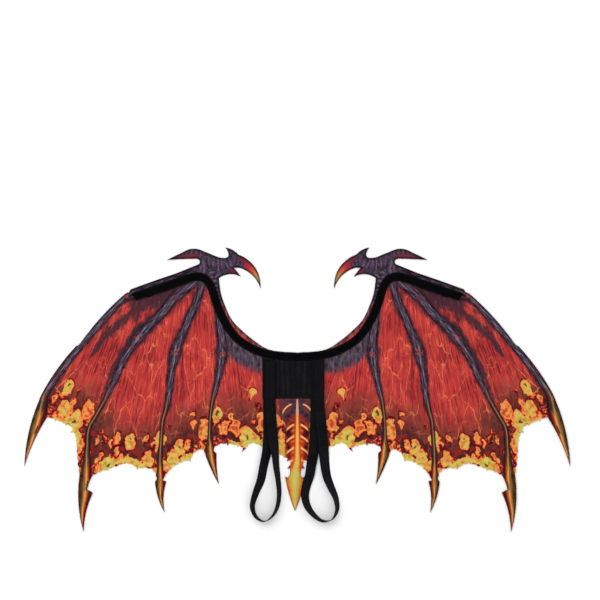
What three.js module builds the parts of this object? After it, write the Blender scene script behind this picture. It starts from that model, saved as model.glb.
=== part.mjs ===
// Costume dragon wings, laid flat with the straps up. Millimetres, X across the span,
// Y towards the neck, Z up from the floor.
import * as THREE from "three";
import { mergeVertices } from "three/addons/utils/BufferGeometryUtils.js";

// Driving sizes
const HALF_SPAN = 525;
const HEIGHT = 548;
const SHEET_THICK = 2;
const LAYER_GAP = 0.3;
const BINDING_WIDTH = 16;
const BINDING_EDGE = 1.2;
const BINDING_CROWN = 2.6;
const PAD_WIDTH = 119;
const PAD_THICK = 1.3;
const PAD_RIB = 0.5;
const PAD_RIBS = 11;
const PAD_OFFSET = -7.5;
const STRAP_WIDTH = 20;
const STRAP_THICK = 1.3;
const TAIL_LEAN = -4.5;
const HEM_LOBE = 12;
const HEM_LOBE_HEIGHT = 2.4;
const TOOTH_WIDTH = 5;

// The drawing grid: its steps in the half span, and in the height
const GRID = { out: 273.5, down: 285.5 };

const across = (out) => (HALF_SPAN * out) / GRID.out;
const upward = (down) => HEIGHT * (0.5 - down / GRID.down);

// The sheet's edge on one side, in grid steps out from the axis and down from the top spur.
// bow: how far a stretch bulges out of the cloth, as a share of its chord.
const NECK_RIM = [
  { out: 0, down: 105.5 },
  { out: 27, down: 103 },
  { out: 44, down: 93 },
  { out: 58, down: 81 },
  { out: 66, down: 72 },
  { out: 72.5, down: 58 },
  { out: 76.5, down: 46 },
  { out: 78.5, down: 31 },
];
const WRIST_HEAD = [
  { out: 56.3, down: 29.8, bow: -0.15 },
  { out: 63.5, down: 20.8, bow: 0.02 },
  { out: 58.2, down: 20.7, bow: 0 },
  { out: 36.8, down: 41.5, bow: -0.13 },
  { out: 54, down: 9.7, bow: 0.15 },
  { out: 59, down: 7.5, bow: 0 },
  { out: 72, down: 0.5, bow: 0.09 },
  { out: 68.6, down: 7.5, bow: -0.08 },
  { out: 71.5, down: 11, bow: -0.2 },
  { out: 79, down: 10.2, bow: -0.04 },
  { out: 96.5, down: 3, bow: 0 },
  { out: 113, down: 4.5, bow: 0.12 },
  { out: 130.5, down: 13, bow: 0 },
  { out: 101, down: 11.7, bow: -0.01 },
  { out: 98, down: 17, bow: -0.38 },
];
const ARM_AND_FINGER = [
  { out: 121, down: 26.3, bow: 0 },
  { out: 166.5, down: 42.3, bow: 0.005 },
  { out: 168.3, down: 45.3, bow: 0 },
  { out: 171.5, down: 46.2, bow: 0 },
  { out: 216.5, down: 95.5, bow: 0.03 },
  { out: 218.5, down: 97.8, bow: 0 },
  { out: 221.5, down: 99.5, bow: 0 },
  { out: 257, down: 150, bow: 0.035 },
  { out: 258.4, down: 154, bow: 0 },
];
const CLAW_1 = [
  { out: 272.8, down: 219.5, bow: 0.046 },
  { out: 250, down: 170, bow: -0.037 },
];
const CLAW_2 = [
  { out: 213.6, down: 285, bow: 0.055 },
  { out: 204.3, down: 245.5, bow: -0.055 },
  { out: 210.3, down: 242.5, bow: 0 },
  { out: 204.5, down: 227.8, bow: -0.03 },
];
const CLAW_3 = [
  { out: 142.3, down: 234.8, bow: 0 },
  { out: 132.6, down: 265.6, bow: 0.055 },
  { out: 131, down: 234.3, bow: -0.064 },
  { out: 134.8, down: 233.3, bow: 0 },
  { out: 128.3, down: 223, bow: -0.02 },
];
const CLAW_4 = [
  { out: 78.3, down: 237.5, bow: 0.026 },
  { out: 80.8, down: 206.5, bow: -0.03 },
  { out: 83.8, down: 203.5, bow: 0 },
  { out: 82.8, down: 199.5, bow: 0 },
];
const TAIL_STEM = { out: 5.2, down: 228, bow: 0 };
const TAIL = [
  { out: 10.4, down: 214.2, bow: -0.05 },
  { out: 7, down: 213, bow: 0 },
  { out: 5.9, down: 217.4, bow: -0.08 },
  { out: 8.4, down: 221.6, bow: 0.04 },
  { out: 5.6, down: 221.2, bow: 0 },
  TAIL_STEM,
  { out: 7.2, down: 230.8, bow: 0 },
  { out: 9.8, down: 229.5, bow: 0 },
  { out: 0, down: 264, bow: 0.03 },
];

// The scorched hems between the claws. tooth: length of the charred thread at a stretch's end.
const HEM_1 = [
  { out: 241.5, down: 172, bow: -0.04, tooth: 5 },
  { out: 231, down: 176.5, bow: 0.03, tooth: 4 },
  { out: 223.5, down: 184, bow: -0.1, tooth: 7 },
  { out: 220.5, down: 193, bow: -0.06, tooth: 3 },
  { out: 217.5, down: 227, bow: 0.02, tooth: 0 },
];
const HEM_2 = [
  { out: 190, down: 221.5, bow: -0.02, tooth: 5 },
  { out: 173, down: 215.5, bow: 0.02, tooth: 3 },
  { out: 159.5, down: 220, bow: 0, tooth: 5 },
  { out: 146, down: 221.5, bow: -0.04, tooth: 0 },
  { out: 140.3, down: 231.5, bow: -0.12, tooth: 0 },
];
const HEM_3 = [
  { out: 120.5, down: 216, bow: 0, tooth: 4 },
  { out: 108, down: 212, bow: 0.03, tooth: 5 },
  { out: 98, down: 202, bow: -0.12, tooth: 0 },
  { out: 93.8, down: 202.5, bow: -0.05, tooth: 0 },
];
const HEM_4 = [
  { out: 69.5, down: 196, bow: -0.08, tooth: 5 },
  { out: 59.5, down: 198, bow: 0.02, tooth: 4 },
  { out: 53, down: 201, bow: -0.02, tooth: 9 },
  { out: 44, down: 195, bow: -0.12, tooth: 0 },
  { out: 28, down: 201, bow: 0.02, tooth: 4 },
  { out: 9.5, down: 211, bow: 0.03, tooth: 0 },
];

// The binding's centre line on one side, on the same grid
const BINDING_LINE = [
  { out: 0, down: 110 },
  { out: 17, down: 109 },
  { out: 32, down: 106.5 },
  { out: 46, down: 101 },
  { out: 59, down: 92.5 },
  { out: 68, down: 82 },
  { out: 75, down: 70 },
  { out: 80.5, down: 57 },
  { out: 84.5, down: 44.5 },
  { out: 88.5, down: 35.5 },
  { out: 95, down: 30.3 },
  { out: 103, down: 29.8 },
  { out: 117, down: 34.3 },
  { out: 137, down: 41.3 },
  { out: 163.5, down: 49.8 },
];
const BINDING_SLANT = 0.35;

// The grid row of the panel's stitched lower edge
const PAD_HEM = { down: 151.7 };

// The left and right strap loops: the middle of the elastic, in grid steps right of the panel's
// middle and down, its roll in degrees, and the layer under its lower edge.
const STRAP_LEFT = [
  { right: -25.1, down: 113.4, roll: 0, on: "pad" },
  { right: -25.1, down: 132, roll: 0, on: "pad" },
  { right: -25.1, down: 152.5, roll: 0, on: "pad" },
  { right: -25, down: 165, roll: 0, on: "sheet" },
  { right: -25, down: 178, roll: 1, on: "sheet" },
  { right: -25.2, down: 192, roll: 8, on: "sheet" },
  { right: -26.8, down: 205, roll: 30, on: "sheet" },
  { right: -29.8, down: 219, roll: 37, on: "floor" },
  { right: -32.6, down: 233, roll: 40, on: "floor" },
  { right: -38, down: 247, roll: 54, on: "floor" },
  { right: -40.9, down: 259, roll: 64, on: "floor" },
  { right: -37.6, down: 269, roll: 76, on: "floor" },
  { right: -29.5, down: 274, roll: 90, on: "floor" },
  { right: -21.6, down: 269.5, roll: 102, on: "floor" },
  { right: -16.2, down: 260, roll: 110, on: "floor" },
  { right: -14.2, down: 247, roll: 114, on: "floor" },
  { right: -15.2, down: 233, roll: 117, on: "floor" },
  { right: -17.1, down: 219, roll: 125, on: "floor" },
  { right: -18.1, down: 208, roll: 133, on: "sheet" },
  { right: -20.2, down: 192, roll: 162, on: "sheetLeg" },
  { right: -21.6, down: 178, roll: 177, on: "sheetLeg" },
  { right: -22.6, down: 165, roll: 180, on: "sheetLeg" },
  { right: -23.1, down: 152.5, roll: 180, on: "padLeg" },
  { right: -23.1, down: 132, roll: 180, on: "padLeg" },
  { right: -23.1, down: 113.4, roll: 180, on: "padLeg" },
];
const STRAP_RIGHT = [
  { right: 22.4, down: 114.2, roll: 0, on: "pad" },
  { right: 22.4, down: 132, roll: 0, on: "pad" },
  { right: 22.4, down: 152.5, roll: 0, on: "pad" },
  { right: 22.2, down: 165, roll: 0, on: "sheet" },
  { right: 21.9, down: 178, roll: 0, on: "sheet" },
  { right: 21.4, down: 192, roll: 4, on: "sheet" },
  { right: 20.2, down: 205, roll: 12, on: "sheet" },
  { right: 18, down: 217, roll: 20, on: "sheet" },
  { right: 16.2, down: 228, roll: 26, on: "sheet" },
  { right: 12.8, down: 239, roll: 33, on: "sheet" },
  { right: 11.6, down: 249, roll: 42, on: "sheet" },
  { right: 14.2, down: 259, roll: 52, on: "floor" },
  { right: 20.4, down: 267.5, roll: 66, on: "floor" },
  { right: 29, down: 273.5, roll: 80, on: "floor" },
  { right: 38.5, down: 272, roll: 98, on: "floor" },
  { right: 43.6, down: 262.5, roll: 112, on: "floor" },
  { right: 42.4, down: 251, roll: 120, on: "floor" },
  { right: 37.6, down: 240, roll: 132, on: "floor" },
  { right: 33.4, down: 229, roll: 142, on: "floor" },
  { right: 31.4, down: 217, roll: 152, on: "floor" },
  { right: 30.4, down: 205, roll: 162, on: "sheet" },
  { right: 29.2, down: 192, roll: 171, on: "sheetLeg" },
  { right: 27.8, down: 178, roll: 178, on: "sheetLeg" },
  { right: 26.4, down: 165, roll: 180, on: "sheetLeg" },
  { right: 25.6, down: 152.5, roll: 180, on: "padLeg" },
  { right: 25.4, down: 132, roll: 180, on: "padLeg" },
  { right: 25.4, down: 114.2, roll: 180, on: "padLeg" },
];

const SHEET_TOP = SHEET_THICK + LAYER_GAP;
const PAD_TOP = SHEET_TOP + PAD_THICK + PAD_RIB + LAYER_GAP;
const LEG = STRAP_THICK + LAYER_GAP;
const LEVELS = {
  floor: 0,
  sheet: SHEET_TOP,
  sheetLeg: SHEET_TOP + LEG,
  pad: PAD_TOP,
  padLeg: PAD_TOP + LEG,
};

// Points of one bowed stretch, its start left out
function stretch(start, end, bow, spacing) {
  const chord = end.clone().sub(start);
  const middle = start.clone().add(end).multiplyScalar(0.5);
  const outward = new THREE.Vector2(-chord.y, chord.x);
  const pull = middle.addScaledVector(outward, 2 * bow);
  const curve = new THREE.QuadraticBezierCurve(start, pull, end);
  const wanted = Math.max(1, Math.round(curve.getLength() / spacing));
  const count = bow === 0 ? 1 : wanted;
  return curve.getSpacedPoints(count).slice(1);
}

// Points of a hem stretch: its bow, with the lobes that scorching leaves, and a tooth at its end
function hemStretch(start, end, bow, tooth) {
  const chord = end.clone().sub(start);
  const middle = start.clone().add(end).multiplyScalar(0.5);
  const outward = new THREE.Vector2(-chord.y, chord.x);
  const curve = new THREE.QuadraticBezierCurve(start, middle.addScaledVector(outward, 2 * bow), end);
  const lobes = Math.max(1, Math.round(curve.getLength() / HEM_LOBE));
  const stepsPerLobe = 5;
  const points = [];
  for (let i = 1; i <= lobes * stepsPerLobe; i++) {
    const share = i / (lobes * stepsPerLobe);
    const tangent = curve.getTangentAt(share);
    const swell = HEM_LOBE_HEIGHT * (Math.abs(Math.sin(Math.PI * share * lobes)) - 0.5);
    const fade = Math.min(1, 8 * share, 8 * (1 - share));
    const side = new THREE.Vector2(-tangent.y, tangent.x);
    points.push(curve.getPointAt(share).addScaledVector(side, swell * fade));
  }
  if (tooth > 0) {
    const root = points.pop();
    const tangent = curve.getTangentAt(1);
    const side = new THREE.Vector2(-tangent.y, tangent.x);
    points.push(root.clone().addScaledVector(tangent, -TOOTH_WIDTH / 2));
    points.push(root.clone().addScaledVector(side, tooth));
    points.push(root.clone().addScaledVector(tangent, TOOTH_WIDTH / 2));
  }
  return points;
}

const gridPoint = (row) => new THREE.Vector2(across(row.out), upward(row.down));

// One side of the sheet's edge, from the middle of the neck round to the tail's tip
function halfEdge() {
  const neck = new THREE.SplineCurve(NECK_RIM.map(gridPoint)).getSpacedPoints(24);
  const points = [...neck];
  const follow = (rows) => {
    for (const row of rows) {
      const start = points[points.length - 1];
      const next =
        row.tooth === undefined
          ? stretch(start, gridPoint(row), row.bow, 6)
          : hemStretch(start, gridPoint(row), row.bow, row.tooth);
      points.push(...next);
    }
  };
  [
    WRIST_HEAD,
    ARM_AND_FINGER,
    CLAW_1,
    HEM_1,
    CLAW_2,
    HEM_2,
    CLAW_3,
    HEM_3,
    CLAW_4,
    HEM_4,
    TAIL,
  ].forEach(follow);
  return points;
}

// The tail hangs a little to one side below its root
function lean(point) {
  const root = upward(HEM_4[HEM_4.length - 1].down);
  const stem = upward(TAIL_STEM.down);
  const near = Math.abs(point.x) < across(HEM_4[HEM_4.length - 1].out) + 1;
  const share = near ? THREE.MathUtils.smoothstep(-point.y, -root, -stem) : 0;
  return new THREE.Vector2(point.x + TAIL_LEAN * share, point.y);
}

function closedMesh(name, geometry, finish) {
  geometry.deleteAttribute("uv");
  geometry.deleteAttribute("normal");
  const solid = mergeVertices(geometry, 1e-4);
  solid.computeVertexNormals();
  const mesh = new THREE.Mesh(solid, new THREE.MeshStandardMaterial(finish));
  mesh.name = name;
  return mesh;
}

function wingSheet() {
  const side = halfEdge();
  const other = side.slice(1, -1).map((p) => new THREE.Vector2(-p.x, p.y));
  const outline = [...side, ...other.reverse()].map(lean).reverse();
  const geometry = new THREE.ExtrudeGeometry(new THREE.Shape(outline), {
    depth: SHEET_THICK,
    bevelEnabled: false,
  });
  return closedMesh("wing_sheet", geometry, { color: 0x8c2a26, roughness: 0.92, metalness: 0 });
}

// A closed solid through rings that all have the same number of corners
function solidOfRings(rings) {
  const size = rings[0].length;
  const last = (rings.length - 1) * size;
  const index = [];
  for (let i = 0; i < rings.length - 1; i++) {
    for (let j = 0; j < size; j++) {
      const a = i * size + j;
      const b = i * size + ((j + 1) % size);
      index.push(a, b, b + size, a, b + size, a + size);
    }
  }
  for (let j = 1; j < size - 1; j++) {
    index.push(0, j + 1, j, last, last + j, last + j + 1);
  }
  const geometry = new THREE.BufferGeometry();
  const coordinates = rings.flat().flatMap((p) => [p.x, p.y, p.z]);
  geometry.setAttribute("position", new THREE.Float32BufferAttribute(coordinates, 3));
  geometry.setIndex(index);
  return geometry;
}

// The domed section of the binding: across as a share of half its width, and its height
const BINDING_SECTION = [
  { share: -1, height: 0 },
  { share: -1, height: BINDING_EDGE },
  { share: -0.5, height: 0.8 * BINDING_CROWN },
  { share: 0, height: BINDING_CROWN },
  { share: 0.5, height: 0.8 * BINDING_CROWN },
  { share: 1, height: BINDING_EDGE },
  { share: 1, height: 0 },
];

const bindingSide = BINDING_LINE.map((row) => new THREE.Vector3(across(row.out), upward(row.down), 0));
const bindingOther = bindingSide.slice(1).map((p) => new THREE.Vector3(-p.x, p.y, 0));
const bindingCurve = new THREE.CatmullRomCurve3(
  [...bindingOther.reverse(), ...bindingSide],
  false,
  "centripetal",
);

function edgeBinding() {
  const steps = 170;
  const rings = [];
  for (let i = 0; i <= steps; i++) {
    const share = i / steps;
    const at = bindingCurve.getPointAt(share);
    const along = bindingCurve.getTangentAt(share);
    const sideways = new THREE.Vector3(along.y, -along.x, 0);
    const end = i === 0 || i === steps ? Math.sign(share - 0.5) : 0;
    rings.push(
      BINDING_SECTION.map((corner) => {
        const offset = (corner.share * BINDING_WIDTH) / 2;
        return at
          .clone()
          .addScaledVector(sideways, offset)
          .addScaledVector(along, -end * BINDING_SLANT * offset)
          .setZ(SHEET_TOP + corner.height);
      }),
    );
  }
  const finish = { color: 0x0b0b0c, roughness: 0.85, metalness: 0 };
  return closedMesh("edge_binding", solidOfRings(rings), finish);
}

// Height on the sheet of the binding's lower edge above a place in the span
function bindingLowerEdge(x) {
  const shares = Array.from({ length: 401 }, (_, i) => 0.3 + (0.4 * i) / 400);
  const off = (share) => Math.abs(bindingCurve.getPointAt(share).x - x);
  const nearest = shares.reduce((best, share) => (off(share) < off(best) ? share : best));
  const slope = bindingCurve.getTangentAt(nearest).x;
  return bindingCurve.getPointAt(nearest).y - BINDING_WIDTH / 2 / slope;
}

function centrePad() {
  const bottom = upward(PAD_HEM.down);
  const columns = PAD_RIBS * 6;
  const rings = [];
  for (let i = 0; i <= columns; i++) {
    const share = i / columns;
    const x = PAD_OFFSET + PAD_WIDTH * (share - 0.5);
    const top = bindingLowerEdge(x) - 2 * LAYER_GAP;
    const face = SHEET_TOP + PAD_THICK + PAD_RIB * Math.sin(Math.PI * PAD_RIBS * share) ** 2;
    rings.push([
      new THREE.Vector3(x, top, face),
      new THREE.Vector3(x, bottom, face),
      new THREE.Vector3(x, bottom, SHEET_TOP),
      new THREE.Vector3(x, top, SHEET_TOP),
    ]);
  }
  const finish = { color: 0x16161a, roughness: 0.88, metalness: 0 };
  return closedMesh("centre_pad", solidOfRings(rings), finish);
}

// One elastic loop: a flat band along its rows, turned by each row's roll
function strapLoop(name, rows) {
  const places = rows.map(
    (row) => new THREE.Vector3(PAD_OFFSET + across(row.right), upward(row.down), 0),
  );
  const rolls = rows.map((row) => new THREE.Vector3(row.roll, 0, 0));
  const path = new THREE.CatmullRomCurve3(places, false, "catmullrom", 0.5);
  const turning = new THREE.CatmullRomCurve3(rolls, false, "catmullrom", 0.4);
  const centre = (t) => {
    const at = path.getPoint(t);
    const place = t * (rows.length - 1);
    const row = Math.min(Math.floor(place), rows.length - 2);
    const step = THREE.MathUtils.smoothstep(place - row, 0, 1);
    const level = THREE.MathUtils.lerp(LEVELS[rows[row].on], LEVELS[rows[row + 1].on], step);
    const angle = THREE.MathUtils.degToRad(turning.getPoint(t).x);
    const reach = (STRAP_WIDTH / 2) * Math.abs(Math.sin(angle));
    const half = (STRAP_THICK / 2) * Math.abs(Math.cos(angle));
    return { at: at.setZ(level + reach + half), angle };
  };
  const steps = (rows.length - 1) * 5;
  const rings = [];
  for (let i = 0; i <= steps; i++) {
    const t = i / steps;
    const { at, angle } = centre(t);
    const along = path.getTangent(t);
    const sideways = new THREE.Vector3(along.y, -along.x, 0);
    const wide = sideways.clone().multiplyScalar(Math.cos(angle)).setZ(Math.sin(angle));
    const thick = sideways.clone().multiplyScalar(-Math.sin(angle)).setZ(Math.cos(angle));
    const corner = (w, h) =>
      at
        .clone()
        .addScaledVector(wide, (w * STRAP_WIDTH) / 2)
        .addScaledVector(thick, (h * STRAP_THICK) / 2);
    rings.push([corner(-1, -1), corner(-1, 1), corner(1, 1), corner(1, -1)]);
  }
  const finish = { color: 0x1c1c1e, roughness: 0.8, metalness: 0 };
  return closedMesh(name, solidOfRings(rings), finish);
}

const wings = new THREE.Group();
wings.name = "dragon_wings";
wings.add(wingSheet());
wings.add(edgeBinding());
wings.add(centrePad());
wings.add(strapLoop("strap_left", STRAP_LEFT));
wings.add(strapLoop("strap_right", STRAP_RIGHT));

export default wings;
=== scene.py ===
"""Printed felt dragon wings, laid flat on a pale floor with their shoulder loops up."""

import logging
import math
from dataclasses import dataclass
from enum import Enum
from typing import Optional, Sequence, Union

import bpy
import numpy as np
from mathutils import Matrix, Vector
from mathutils.geometry import delaunay_2d_cdt
from numpy.typing import ArrayLike


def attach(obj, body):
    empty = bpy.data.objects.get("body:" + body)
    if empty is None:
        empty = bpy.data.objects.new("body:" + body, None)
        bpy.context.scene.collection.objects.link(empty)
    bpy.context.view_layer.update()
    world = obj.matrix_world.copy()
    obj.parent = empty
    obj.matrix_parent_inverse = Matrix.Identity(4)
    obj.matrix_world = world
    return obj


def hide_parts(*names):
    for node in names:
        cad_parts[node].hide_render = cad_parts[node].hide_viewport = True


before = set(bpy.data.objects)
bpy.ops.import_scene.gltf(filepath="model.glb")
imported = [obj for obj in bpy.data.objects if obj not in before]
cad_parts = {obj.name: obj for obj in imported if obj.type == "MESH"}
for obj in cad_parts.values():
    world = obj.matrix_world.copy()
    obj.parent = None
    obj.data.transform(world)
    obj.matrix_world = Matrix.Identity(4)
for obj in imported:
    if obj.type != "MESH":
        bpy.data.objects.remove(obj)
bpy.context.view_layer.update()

LOG = logging.getLogger("dragon_wings")

HALF_SPAN = 0.525
HEIGHT = 0.548
GRID_OUT = 273.5
GRID_DOWN = 285.5
STEP = HALF_SPAN / GRID_OUT
SHEET_THICK = 0.002
LAYER_GAP = 0.0003
SHEET_TOP = SHEET_THICK + LAYER_GAP
TAIL_LEAN = -0.0045
PANEL_OFFSET = -0.0075
PHOTO_SIDE = 600
BLOCK = 4_000_000
TAU = 2 * math.pi

Colour = tuple[float, float, float]
Stops = tuple[tuple[float, Colour], ...]
Socket = bpy.types.NodeSocket
Value = Union[float, Socket]
Ink = Union[Colour, Socket]


def across(out: ArrayLike) -> np.ndarray:
    """Metres from the axis for grid steps out."""
    return HALF_SPAN * np.asarray(out, float) / GRID_OUT


def upward(down: ArrayLike) -> np.ndarray:
    """Metres towards the neck for grid steps down from the top spur."""
    return HEIGHT * (0.5 - np.asarray(down, float) / GRID_DOWN)


def on_sheet(rows: ArrayLike) -> np.ndarray:
    """Places in metres for rows of grid steps out and down.

    Args:
        rows: The rows, which may hold further numbers after the first two.

    Returns:
        Two coordinates a row.
    """
    rows = np.array(rows, float)
    return np.stack([across(rows[:, 0]), upward(rows[:, 1])], 1)


def rgb(red: int, green: int, blue: int) -> Colour:
    """A screen colour of 0 to 255 a channel as linear light.

    Args:
        red: The red channel.
        green: The green channel.
        blue: The blue channel.

    Returns:
        The three channels of 0 to 1.
    """
    return tuple(
        c / 12.92 if c <= 0.04045 else ((c + 0.055) / 1.055) ** 2.4
        for c in (red / 255, green / 255, blue / 255)
    )


def tones(*rows: tuple[float, int, int, int]) -> Stops:
    """A ramp's stops, from rows of a place and a screen colour."""
    return tuple((row[0], rgb(*row[1:])) for row in rows)


def ease(value: np.ndarray, low: float, high: float) -> np.ndarray:
    """A smooth rise: t squared times (3 - 2t), with t going from 0 at low to 1 at high.

    Args:
        value: What is eased.
        low: Where the rise starts.
        high: Where it ends.

    Returns:
        The eased values, 0 to 1.
    """
    t = np.clip((value - low) / (high - low), 0, 1)
    return t * t * (3 - 2 * t)


class Knots(Enum):
    """How a smooth line spaces its knots."""

    UNIFORM = 0.0
    CENTRIPETAL = 0.5


def smooth_line(
    rows: np.ndarray, per_span: int, knots: Knots = Knots.UNIFORM, tension: float = 0.5
) -> np.ndarray:
    """A Catmull-Rom line through rows: between two rows it is the cubic with their chords as slopes.

    Args:
        rows: The rows it runs through, one point each.
        per_span: Points worked out between two rows.
        knots: The spacing of the knots.
        tension: Share of the chord that a uniform slope takes.

    Returns:
        The points of the line, the last row among them.
    """
    p = np.vstack([2 * rows[0] - rows[1], rows, 2 * rows[-1] - rows[-2]])
    x0, x1, x2, x3 = p[:-3], p[1:-2], p[2:-1], p[3:]
    if knots is Knots.UNIFORM:
        m1, m2 = tension * (x2 - x0), tension * (x3 - x1)
    else:
        gap = np.linalg.norm(np.diff(p, axis=0), axis=1) ** knots.value
        d0, d1, d2 = (gap[i : len(gap) - 2 + i, None] for i in range(3))
        m1 = ((x1 - x0) / d0 - (x2 - x0) / (d0 + d1) + (x2 - x1) / d1) * d1
        m2 = ((x2 - x1) / d1 - (x3 - x1) / (d1 + d2) + (x3 - x2) / d2) * d1
    t = (np.arange(per_span) / per_span)[None, :, None]
    x1, x2, m1, m2 = (a[:, None, :] for a in (x1, x2, m1, m2))
    line = (
        (2 * t**3 - 3 * t**2 + 1) * x1
        + (t**3 - 2 * t**2 + t) * m1
        + (3 * t**2 - 2 * t**3) * x2
        + (t**3 - t**2) * m2
    )
    return np.vstack([line.reshape(-1, rows.shape[1]), rows[-1:]])


def arc_length(points: np.ndarray) -> np.ndarray:
    """Length along a line up to each of its points."""
    return np.r_[0, np.cumsum(np.linalg.norm(np.diff(points, axis=0), axis=1))]


def even_line(points: np.ndarray, spacing: float) -> np.ndarray:
    """The same line with its points evenly spaced, by linear steps along its length.

    Args:
        points: The line.
        spacing: The distance wanted between two points.

    Returns:
        The new points, with both ends kept.
    """
    length = arc_length(points)
    at = np.linspace(0, length[-1], max(2, int(round(length[-1] / spacing)) + 1))
    return np.stack([np.interp(at, length, points[:, k]) for k in range(points.shape[1])], 1)


def unit(vectors: np.ndarray) -> np.ndarray:
    """Vectors of length one."""
    return vectors / np.maximum(np.linalg.norm(vectors, axis=-1, keepdims=True), 1e-12)


def rightward(along: np.ndarray) -> np.ndarray:
    """The way to the right of each direction in the plane."""
    return np.column_stack([along[:, 1], -along[:, 0]])


def segment_distance(points: np.ndarray, starts: np.ndarray, ends: np.ndarray) -> np.ndarray:
    """Distance from each point to the nearest segment: to the foot of its perpendicular, or an end.

    Args:
        points: Places in the plane.
        starts: Starts of the segments.
        ends: Their ends.

    Returns:
        One distance a point, worked out in blocks to save memory.
    """
    chord = ends - starts
    square = np.maximum((chord**2).sum(1), 1e-18)
    blocks = []
    for block in np.array_split(points, max(1, len(points) * len(starts) // BLOCK)):
        apart = block[:, None, :] - starts[None]
        share = np.clip((apart * chord).sum(-1) / square, 0, 1)[..., None]
        blocks.append(np.sqrt((((apart - share * chord) ** 2).sum(-1)).min(1)))
    return np.concatenate(blocks)


def inside_outline(points: np.ndarray, starts: np.ndarray, ends: np.ndarray) -> np.ndarray:
    """Whether each point is inside: a ray to its right crosses the outline an odd number of times.

    Args:
        points: Places in the plane.
        starts: Starts of the outline's segments.
        ends: Their ends.

    Returns:
        True or false for each point.
    """
    blocks = []
    rise = ends[:, 1] - starts[:, 1]
    slope = (ends[:, 0] - starts[:, 0]) / np.where(np.abs(rise) < 1e-15, 1e-15, rise)
    for block in np.array_split(points, max(1, len(points) * len(starts) // BLOCK)):
        y = block[:, 1][:, None]
        spans = (starts[:, 1] > y) != (ends[:, 1] > y)
        at = starts[:, 0] + (y - starts[:, 1]) * slope
        blocks.append((spans & (at > block[:, 0][:, None])).sum(1) % 2 == 1)
    return np.concatenate(blocks)


def make_piece(
    name: str,
    points: np.ndarray,
    faces: Sequence[Sequence[int]],
    attributes: Optional[dict[str, np.ndarray]] = None,
    smooth: bool = True,
) -> bpy.types.Object:
    """Puts points and faces into a new mesh object at the origin.

    Args:
        name: The piece's name.
        points: Its corners, in metres.
        faces: The corner numbers of each face.
        attributes: Three numbers a corner for each named attribute.
        smooth: Whether its faces are shaded smooth.

    Returns:
        The new object.
    """
    mesh = bpy.data.meshes.new(name)
    mesh.from_pydata(points.tolist(), [], faces)
    for key, values in (attributes or {}).items():
        layer = mesh.attributes.new(key, "FLOAT_VECTOR", "POINT")
        layer.data.foreach_set("vector", np.ascontiguousarray(values, np.float32).ravel())
    mesh.polygons.foreach_set("use_smooth", [smooth] * len(mesh.polygons))
    mesh.update()
    obj = bpy.data.objects.new(name, mesh)
    bpy.context.scene.collection.objects.link(obj)
    return obj


def grid_faces(rows: int, columns: int, around: bool) -> np.ndarray:
    """Quads of a grid of points, row by row.

    Args:
        rows: Points along it.
        columns: Points across it.
        around: Whether the last column joins the first.

    Returns:
        Four corner numbers a face.
    """
    i = np.arange(rows - 1)[:, None] * columns
    j = np.arange(columns if around else columns - 1)[None, :]
    k = (j + 1) % columns
    quads = np.stack([i + j, i + k, i + columns + k, i + columns + j], -1)
    return quads.reshape(-1, 4)


def end_faces(rows: int, columns: int) -> list[list[int]]:
    """The two faces that shut the first and the last row of a closed grid."""
    last = (rows - 1) * columns
    return [list(range(columns))[::-1], [last + k for k in range(columns)]]


def swept_faces(rows: int, columns: int) -> list[list[int]]:
    """Faces of a closed profile carried along a line, with both ends shut, all pointing outwards.

    Args:
        rows: Points along the line.
        columns: Points round the profile, anticlockwise as seen by someone who walks the line.

    Returns:
        The corner numbers of each face.
    """
    ends = [face[::-1] for face in end_faces(rows, columns)]
    return grid_faces(rows, columns, True)[:, ::-1].tolist() + ends


def two_sided(faces: np.ndarray, rim: np.ndarray, count: int) -> list[list[int]]:
    """Faces of a shell: a lower skin, the same skin above it, and a wall round the rim.

    Args:
        faces: Faces of the skin, seen from above.
        rim: Two corner numbers for each edge of the rim, which runs anticlockwise.
        count: Points in one skin; the upper ones follow the lower ones.

    Returns:
        The corner numbers of each face.
    """
    wall = np.column_stack([rim[:, 0], rim[:, 1], rim[:, 1] + count, rim[:, 0] + count])
    return faces[:, ::-1].tolist() + (faces + count).tolist() + wall.tolist()


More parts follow.
